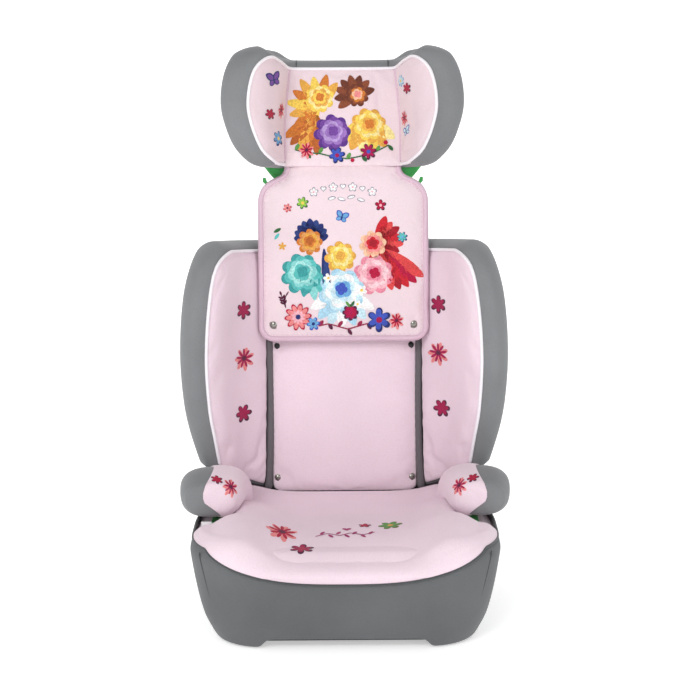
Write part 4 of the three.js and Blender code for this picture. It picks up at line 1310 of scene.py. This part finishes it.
def lay_print(name, body, target, leaning, origin, across, facing, shapes):
    """Lays shapes on a panel as a thin skin; across and facing are directions in the panel's axes."""
    tree = tree_of(target)
    out = turned(facing, leaning)
    a = turned(across, leaning)
    a = (a - out * a.dot(out)).normalized()
    b = out.cross(a)
    base = Vector(world(origin, leaning)) + out * 0.06
    codes = sorted({shape[2] for shape in shapes})
    verts, faces, which = [], [], []
    for (cx, cz), outline, colour, layer in shapes:
        reach = max(math.hypot(px - cx, pz - cz) for px, pz in outline)
        rings = max(1, int(math.ceil(reach / 3.2)))
        flat = [(cx, cz)]
        for share in (r / rings for r in range(1, rings + 1)):
            flat += [(cx + (px - cx) * share, cz + (pz - cz) * share) for px, pz in outline]
        lift = (0.22 + 0.055 * layer) * MM
        placed = [drop(tree, base + (a * u + b * w) * MM, -out, lift) for u, w in flat]
        if None in placed:
            continue
        first, n = len(verts), len(outline)
        verts += placed
        for k in range(n):
            j = (k + 1) % n
            faces.append((first, first + 1 + k, first + 1 + j))
            for lo in (first + 1 + r * n for r in range(rings - 1)):
                faces.append((lo + k, lo + n + k, lo + n + j, lo + j))
        which += [codes.index(colour)] * (n * rings)
    obj = new_object(name, verts, faces, [ink(c) for c in codes])
    for polygon, slot in zip(obj.data.polygons, which):
        polygon.material_index = slot
    if obj.data.polygons and Vector(obj.data.polygons[0].normal).dot(out) < 0:
        obj.data.flip_normals()
    dress(obj, body, "pink_fabric")


def apron_print():
    edge, navy, teals = "8c8c9c", (NAVY, "31447f"), (TEAL, "8ad3d0", "3f9d9d")
    reds, stalk = (RED, "a51c2c", "dd4a4a", CRIMSON), "9a2a4c"
    shapes = []
    # small sprays in an arc along the top
    for k, x in enumerate(range(-42, 43, 14)):
        z = 503 - 0.0042 * x * x
        if k % 2:
            shapes += heart(x, z, 9, edge, 1) + heart(x, z, 6.6, WHITE, 2)
        else:
            shapes += rosette(x, z, 7, 5, edge, 1, 0.4, 0.6, 0.3)
            shapes += rosette(x, z, 5.6, 5, WHITE, 2, 0.4, 0.6, 0.3) + rosette(x, z, 1.6, 6, ROSE, 3, 0.8)
    for k, x in enumerate((-22, -8, 6, 20)):
        z, angle = 487 - 0.004 * x * x, 0.25 * (-1) ** k
        shapes += leaf(x, z, angle, 12, 5.5, edge, 1) + leaf(x + 1.2, z, angle, 9.6, 3.6, WHITE, 2)
    shapes += bloom(-58, 480, 9, 6, (DEEP_LEAF, "8fbf4f"), YELLOW)
    shapes += bloom(-80, 473, 6.5, 6, (CRIMSON, SALMON), PLUM)
    shapes += bloom(54, 476, 8.5, 5, (PLUM, CRIMSON), ROSE)
    shapes += butterfly(-2, 459, 12, SKY, BLUE, 1, -0.3)
    shapes += bloom(85, 430, 8, 7, (NAVY, TEAL), SKY)
    shapes += leaf(-100, 438, 0.5, 12, 5, DEEP_LEAF, 1) + leaf(-99, 428, 0.9, 11, 4.4, TEAL, 1)
    shapes += rosette(-88, 418, 6, 5, GOLD, 1, 0.35, 1.1, 0.2)
    # left: navy leaves over a teal blossom
    shapes += fan(-46, 428, 0.2, 0.36, [30 - 1.2 * abs(k - 4) for k in range(9)], 14, navy, 1)
    shapes += fan(-50, 400, -1.15, -0.28, range(66, 36, -5), 17, teals, 2)
    shapes += peony(-48, 424, 19, (AMBER, "dc9a5c", GOLD, AMBER, "b8622e"), 3)
    shapes += peony(-60, 378, 30, ("3f9d9d", TEAL, "8ad3d0", "a9e2dd", TEAL, "3f9d9d"), 3, 0.3)
    shapes += leaf(-28, 415, -1.5, 84, 12, NAVY, 2) + leaf(-24, 404, -1.62, 70, 9, "31447f", 3)
    # right: red leaves round a rose
    shapes += fan(48, 424, -1.75, 0.33, [36, 39] * 5, 15, reds[:3], 1)
    shapes += fan(56, 412, -0.2, -0.19, range(78, 57, -3), 19, reds, 2)
    shapes += peony(43, 420, 20, ("f3c6a5", "eba98c", SALMON, RED, "a51c2c"), 4, 0.2)
    shapes += peony(44, 376, 29, ("e58ba0", ROSE, "f7cdd3", ROSE, "e58ba0", CRIMSON), 4, 0.5)
    # middle: pale blossoms under a golden one
    shapes += fan(-2, 352, -0.5, -0.36, [52] * 7, 19, (WHITE, ICE, "a8d2e6"), 4)
    shapes += peony(-4, 402, 23, (GOLD, YELLOW, "f9e49a", YELLOW, GOLD), 5, 0.1)
    shapes += peony(-2, 352, 34, ("a8d2e6", ICE, WHITE, "e3f2f6", ICE, SKY, BLUE), 6, 0.25)
    for x, z, r in ((-22, 372, 7), (26, 354, 8), (20, 334, 6)):
        shapes += rosette(x, z, r, 5, WHITE, 12, 0.42, 0.6, x) + rosette(x, z, r * 0.3, 6, YELLOW, 13, 0.8)
    # garland along the bottom
    shapes += ribbon([(-84, 330), (-86, 342), (-80, 352)], 2.2, PLUM, 1)
    shapes += spray(-84, 330, 1.9, 20, PLUM, 1)
    stem = [(-36, 303), (-22, 306), (-8, 302), (6, 298), (20, 302), (34, 306)]
    shapes += garland(stem, stalk, (0.9, -1.0), (stalk, PLUM), 12)
    shapes += rosette(-66, 316, 20, 10, CRIMSON, 12, 0.62, 0.9, 0.1)
    shapes += rosette(-66, 316, 17.5, 10, SALMON, 13, 0.5, 0.7, 0.1)
    shapes += rosette(-66, 316, 10, 10, ROSE, 14, 0.6, 0.8, 0.3) + rosette(-66, 316, 4, 8, NAVY, 15, 0.7)
    shapes += bloom(-44, 306, 10, 6, (BLUE, SKY), NAVY, 0.1, 14)
    shapes += peony(10, 322, 12, (PLUM, MAGENTA, CRIMSON, MAGENTA), 13)
    shapes += leaf(10, 330, 1.0, 10, 4, DEEP_LEAF, 18) + leaf(9, 330, 2.2, 10, 4, LEAF, 18)
    shapes += bloom(51, 311, 18, 6, (NAVY, BLUE), MAGENTA, 0.5, 13)
    return shapes + brush_daisy(76, 310, 10, 14)


def head_print():
    golds, browns = (GOLD, YELLOW, "f9e49a", YELLOW, GOLD, AMBER), (BROWN, "8a4b33")
    shapes = fan(-34, 618, 0.9, 0.42, [44, 48] * 4 + [44], 15, (GOLD, AMBER, YELLOW), 1)
    shapes += fan(-36, 606, -2.55, 0.24, [58] * 5, 17, (AMBER, "b5622f", GOLD), 2)
    shapes += peony(-32, 630, 21, (YELLOW, "f9e49a", GOLD, YELLOW, AMBER), 3, 0.3)
    shapes += peony(-14, 580, 27, ("5d3688", VIOLET, "9a74bd", LILAC_INK, "9a74bd", VIOLET), 4, 0.1)
    shapes += fan(18, 634, 0.3, 0.5, [30] * 8, 13, browns, 1)
    shapes += fan(34, 600, -2.4, 0.36, [50] * 6, 20, (YELLOW, GOLD, "f9e49a"), 2)
    shapes += peony(22, 634, 17, (*browns, AMBER, "f0c09a", SALMON), 3, 0.4)
    shapes += peony(38, 590, 26, golds, 5, 0.3)
    stem = [(-68, 556), (-52, 552), (-34, 551), (-14, 546), (6, 543), (28, 547), (48, 553), (66, 562)]
    shapes += garland(stem, DEEP_LEAF, (1.0, -0.9), (LEAF, DEEP_LEAF), 11)
    shapes += brush_daisy(-52, 556, 10, 12)
    shapes += bloom(-8, 548, 12, 6, (NAVY, BLUE), MAGENTA, 0.2, 12)
    shapes += bloom(37, 553, 12, 7, (PLUM, MAGENTA), BLUE, 0.2, 12)
    return shapes + rosette(62, 566, 3.4, 6, CRIMSON, 12, 0.8) + rosette(14, 541, 3, 6, CRIMSON, 12, 0.8)


def head_side_print(sign):
    if sign > 0:
        return (wide(1.8, bloom, 42, 640, 8, 6, (PLUM, CRIMSON), None, 0.4)
                + wide(1.6, brush_daisy, 20, 600, 9)
                + wide(1.7, bloom, 20, 652, 8.5, 7, (SKY, ICE), YELLOW)
                + wide(1.8, butterfly, 34, 580, 10, ICE, BLUE, 1, 0.4))
    return (wide(1.8, butterfly, -56, 652, 15, VIOLET, NAVY, 1, 0.3)
            + wide(2.0, bloom, -64, 604, 8, 6, (PLUM, CRIMSON), None, 0.2)
            + wide(1.6, brush_daisy, -20, 612, 9)
            + wide(1.7, bloom, -38, 571, 11, 6, (NAVY, SKY), YELLOW))


def wing_print(sign):
    at, (high, middle, low) = (48, (333, 263, 183)) if sign > 0 else (-62, (327, 258, 178))
    return (wide(1.5, bloom, at, high, 13.5, 6, (PLUM, MAGENTA), None, 0.5)
            + wide(1.6, brush_daisy, at - 3.2 * sign, middle, 14, 1, MAGENTA)
            + wide(1.5, bloom, at + 3, low, 13.5, 6, (PLUM, MAGENTA), None, 0.1))


def arm_print(sign):
    return (brush_daisy(-19 * sign, 26, 11, 1, MAGENTA, SALMON)
            + bloom(-2 * sign, 36, 7.5, 6, (PLUM, CRIMSON), None, 0.3)
            + bloom(-32 * sign, -2, 7, 5, (PLUM, CRIMSON), None, 0.8))


def seat_print():
    stalk = "a8366f"
    shapes = brush_daisy(-86, -112, 20, 1) + bloom(-58, -158, 17, 6, (PLUM, MAGENTA), CRIMSON, 0.4)
    shapes += bloom(27, -74, 9, 5, (PLUM, CRIMSON), None, 0.2)
    shapes += bloom(62, -78, 17, 6, ("6c7a3c", LEAF), GOLD, 0.1)
    shapes += ribbon([(-40, -118), (-24, -108), (-8, -116), (8, -106), (24, -114), (40, -104)], 2.2,
                     stalk, 1)
    for k, x in enumerate(range(-34, 42, 11)):
        shapes += leaf(x, -112, (1.1, -1.0)[k % 2], 12, 5, stalk, 1)
    return shapes + heart(2, -92, 13, stalk, 1)


def scatter_prints(panels):
    def lay(key, body, origin, across, facing, shapes, leaning=True):
        lay_print("print_" + key, body, panels[key], leaning, origin, across, facing, shapes)

    right = (1, 0, 0)
    lay("apron", "headrest", (0, -120, 0), right, (0, -1, 0), apron_print())
    lay("head_middle", "headrest", (0, -120, 0), right, (0, -1, 0), head_print())
    for side, sign in SIDES:
        lay("wing_" + side, "backrest", (118 * sign, -50, 0), (0.486, -0.874 * sign, 0),
            (-0.874 * sign, -0.486, 0), wing_print(sign))
        lay("head_" + side, "headrest", (82 * sign, -86, 0), (0.417, -0.909 * sign, 0),
            (-0.909 * sign, -0.417, 0), head_side_print(sign))
        lay("arm_" + side, "base", (172 * sign, -104, 178), right, (-0.45 * sign, -0.8, 0.4),
            arm_print(sign), False)
    lay("seat", "base", (0, 0, 170), right, (0, 0, 1), seat_print(), False)


# ------------------------------------------------------------------ hem and spring
def strip_ring(inner, outer, y, half, z, count, square, wave=0.0):
    """Ring of a flat strip that runs from inner to outer across the seat; wave ripples it."""
    ring = []
    for a in (turn_of(k + 0.5, count) for k in range(count)):
        x = (inner + outer) / 2 + (outer - inner) / 2 * bowed(math.cos(a), square)
        ripple = wave * math.sin(x / 6.5)
        ring.append((x, y + ripple + half * bowed(math.sin(a), 0.6), z))
    return ring


def build_wing_hem(side, sign):
    """Cloth hem that hangs from a wing's lower end and closes the gap above the seat."""
    rings = []
    for z in np.linspace(57.5, 112, 26):
        u = (z - 57.5) / 54.5
        close = min(1, 0.35 + 6 * u, 0.35 + 6 * (1 - u))
        rings.append(strip_ring(106.5, 150 + 10 * u, -27, 2.4 * close, z, 36, 0.5, 0.9 * (1 - u)))
    hem = refine(lathe_rows("wing_hem_" + side, rings, True, BINDING, sign))
    dress(hem, "backrest", "grey_fabric", fill=0.4)


def build_guide_web(side, sign):
    """Tapering green web that joins a shoulder-belt hook to the underside of the headrest wing."""
    rings = []
    for u in np.linspace(0, 1, 20):
        close = min(1, 0.3 + 7 * u, 0.3 + 7 * (1 - u))
        rings.append(strip_ring(80, 93 + 24 * u ** 0.8, -60, 2.1 * close, 510 + 27 * u, 32, 0.4))
    web = lathe_rows("belt_guide_web_" + side, rings, True, GREEN, sign)
    dress(web, "headrest", "green_plastic")


def build_spring():
    """Wire coil between the housing and the pull rod's collar."""
    turns, steps, radius = 5, 140, 6.2
    coil = []
    for u in (k / steps for k in range(steps + 1)):
        a = turn_of(turns * u, 1)
        rise = u - 0.02 * math.sin(turn_of(u, 1))
        coil.append((radius * math.cos(a), -3 + radius * math.sin(a), 587.6 + 32.8 * rise))
    spring = tube("handle_spring_wire", coil, 0.75, STEEL)
    dress(spring, "headrest", "steel", "handle_spring")
    anchor = world((0, -3, 621.2), True)
    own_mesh(spring)


# ------------------------------------------------------------------ snaps
def dome_snap(name, target, x, z, radius, material):
    """Pressed cap of a snap: flange, groove and dome, sitting on the cloth."""
    out = turned((0, -1, 0), True)
    seat = drop(tree_of(target), Vector(world((x, -60, z), True)) + out * 0.08, -out, 0)
    across = turned((1, 0, 0), True)
    up = out.cross(across)
    profile = [(1.0, -0.6), (1.04, 0.1), (1.0, 0.35), (0.9, 0.4), (0.84, 0.3), (0.8, 0.5), (0.72, 1.1),
               (0.55, 1.7), (0.32, 2.1), (0.1, 2.25)]
    count = 28
    angles = [turn_of(k, count) for k in range(count)]
    verts = [seat + (across * math.cos(a) + up * math.sin(a)) * radius * r * MM + out * h * MM * radius / 6
             for r, h in profile for a in angles]
    faces = quads(len(profile), count, wrap=True)
    faces += [tuple(range(count)), tuple(range((len(profile) - 1) * count, len(profile) * count))]
    return solid(name, verts, faces, material)


def build_snaps(panels):
    for side, sign in SIDES:
        for kind, panel, x, z, radius, material, slot in SNAPS:
            cap = dome_snap(kind + "_cap_" + side, panels[panel], x * sign, z, radius, material)
            dress(cap, "headrest" if panel == "apron" else "backrest", slot, kind + "_" + side)


# ------------------------------------------------------------------ studio
def make_studio():
    world_data = bpy.data.worlds.new("studio")
    bpy.context.scene.world = world_data
    world_data.use_nodes = True
    background = world_data.node_tree.nodes["Background"]
    put(background, Color=grey(1), Strength=0.5)
    bpy.context.scene.view_settings.view_transform = "Standard"
    # the floor runs flat to bend metres behind the seat, then curves up into a wall
    half, bend, radius, wall = 30, 6, 4, 20
    angles = [k / 16 * math.pi / 2 for k in range(1, 17)]
    sweep = [(-half, 0), (bend, 0)]
    sweep += [(bend + radius * math.sin(a), radius - radius * math.cos(a)) for a in angles]
    sweep.append((bend + radius, wall))
    floor = new_object("floor", [(x, y, z) for y, z in sweep for x in (-half, half)],
                       quads(len(sweep), 2), floor_material())
    for name, place, aim, size, power in (
            ("key", (-1.3, -3.0, 2.2), (0, 0, 0.4), 1.6, 58),
            ("fill", (2.0, -2.4, 1.2), (0, 0, 0.4), 1.8, 16),
            ("rim", (0.4, 2.6, 2.4), (0, 0, 0.5), 1.4, 14)):
        data = bpy.data.lights.new(name, "AREA")
        data.shape, data.size, data.energy = "DISK", size, power
        lamp = bpy.data.objects.new(name, data)
        bpy.context.scene.collection.objects.link(lamp)
        lamp.location = place
        lamp.rotation_euler = (Vector(aim) - Vector(place)).to_track_quat("-Z", "Y").to_euler()


def floor_material():
    """Pale floor that glows more with distance, so that its far side is as bright as the sky."""
    n = Nodes("studio_floor")
    n.link(n.ramp(n.noise(1.5, 2), 0.3, 0.7, grey(0.83), grey(0.85)), n.shader.inputs["Base Color"])
    place = n.add("ShaderNodeSeparateXYZ")
    n.link(n.coord, place.inputs[0])
    glow = put(n.add("ShaderNodeMapRange", interpolation_type="SMOOTHSTEP"),
               From_Min=0.5, From_Max=3.0, To_Min=0.47, To_Max=0.66)
    n.link(place.outputs["Y"], glow.inputs["Value"])
    n.link(glow.outputs["Result"], n.shader.inputs["Emission Strength"])
    put(n.shader, Roughness=0.9, Specular_IOR_Level=0.1, Emission_Color=grey(1))
    return n.mat


# ------------------------------------------------------------------ hard pieces kept from the CAD
def finish_cad():
    """Gives the hard pieces of the CAD model their materials."""
    looks = (
        (DARK, "base_shell back_shell head_shell handle_housing height_rail_ hinge_hook_"),
        (STEEL, "pivot_rod pull_rod lock_bar rail_screw_top_ rail_screw_bottom_"),
        (GREEN, "adjuster_handle lap_belt_guide_ shoulder_belt_guide_"),
        (LABEL, "care_label"),
        (RUBBER, "foot_front_ foot_rear_"),
        (BLACK_SNAP, "pad_snap_upper_"),
        (SILVER, "pad_snap_lower_ apron_snap_"),
    )
    for material, names in looks:
        for name in names.split():
            for node in [name + side for side, _ in SIDES] if name.endswith("_") else [name]:
                obj = frame["nodes"][node]
                for slot in obj.material_slots:
                    slot.material = material
                if not obj.material_slots:
                    obj.data.materials.append(material)


finish_cad()
make_studio()
panels = {"seat": build_seat()}
build_skirt()
for side, sign in SIDES:
    panels["arm_" + side] = build_armrest(side, sign)
    panels["wing_" + side] = build_wing(side, sign)
for key, panel in build_head().items():
    panels["head_" + key] = panel
panels["pad"] = build_pad()
panels["apron"] = build_apron()
for side, sign in SIDES:
    build_wing_hem(side, sign)
    build_guide_web(side, sign)
build_spring()
head_fold_cords()
build_snaps(panels)
scatter_prints(panels)
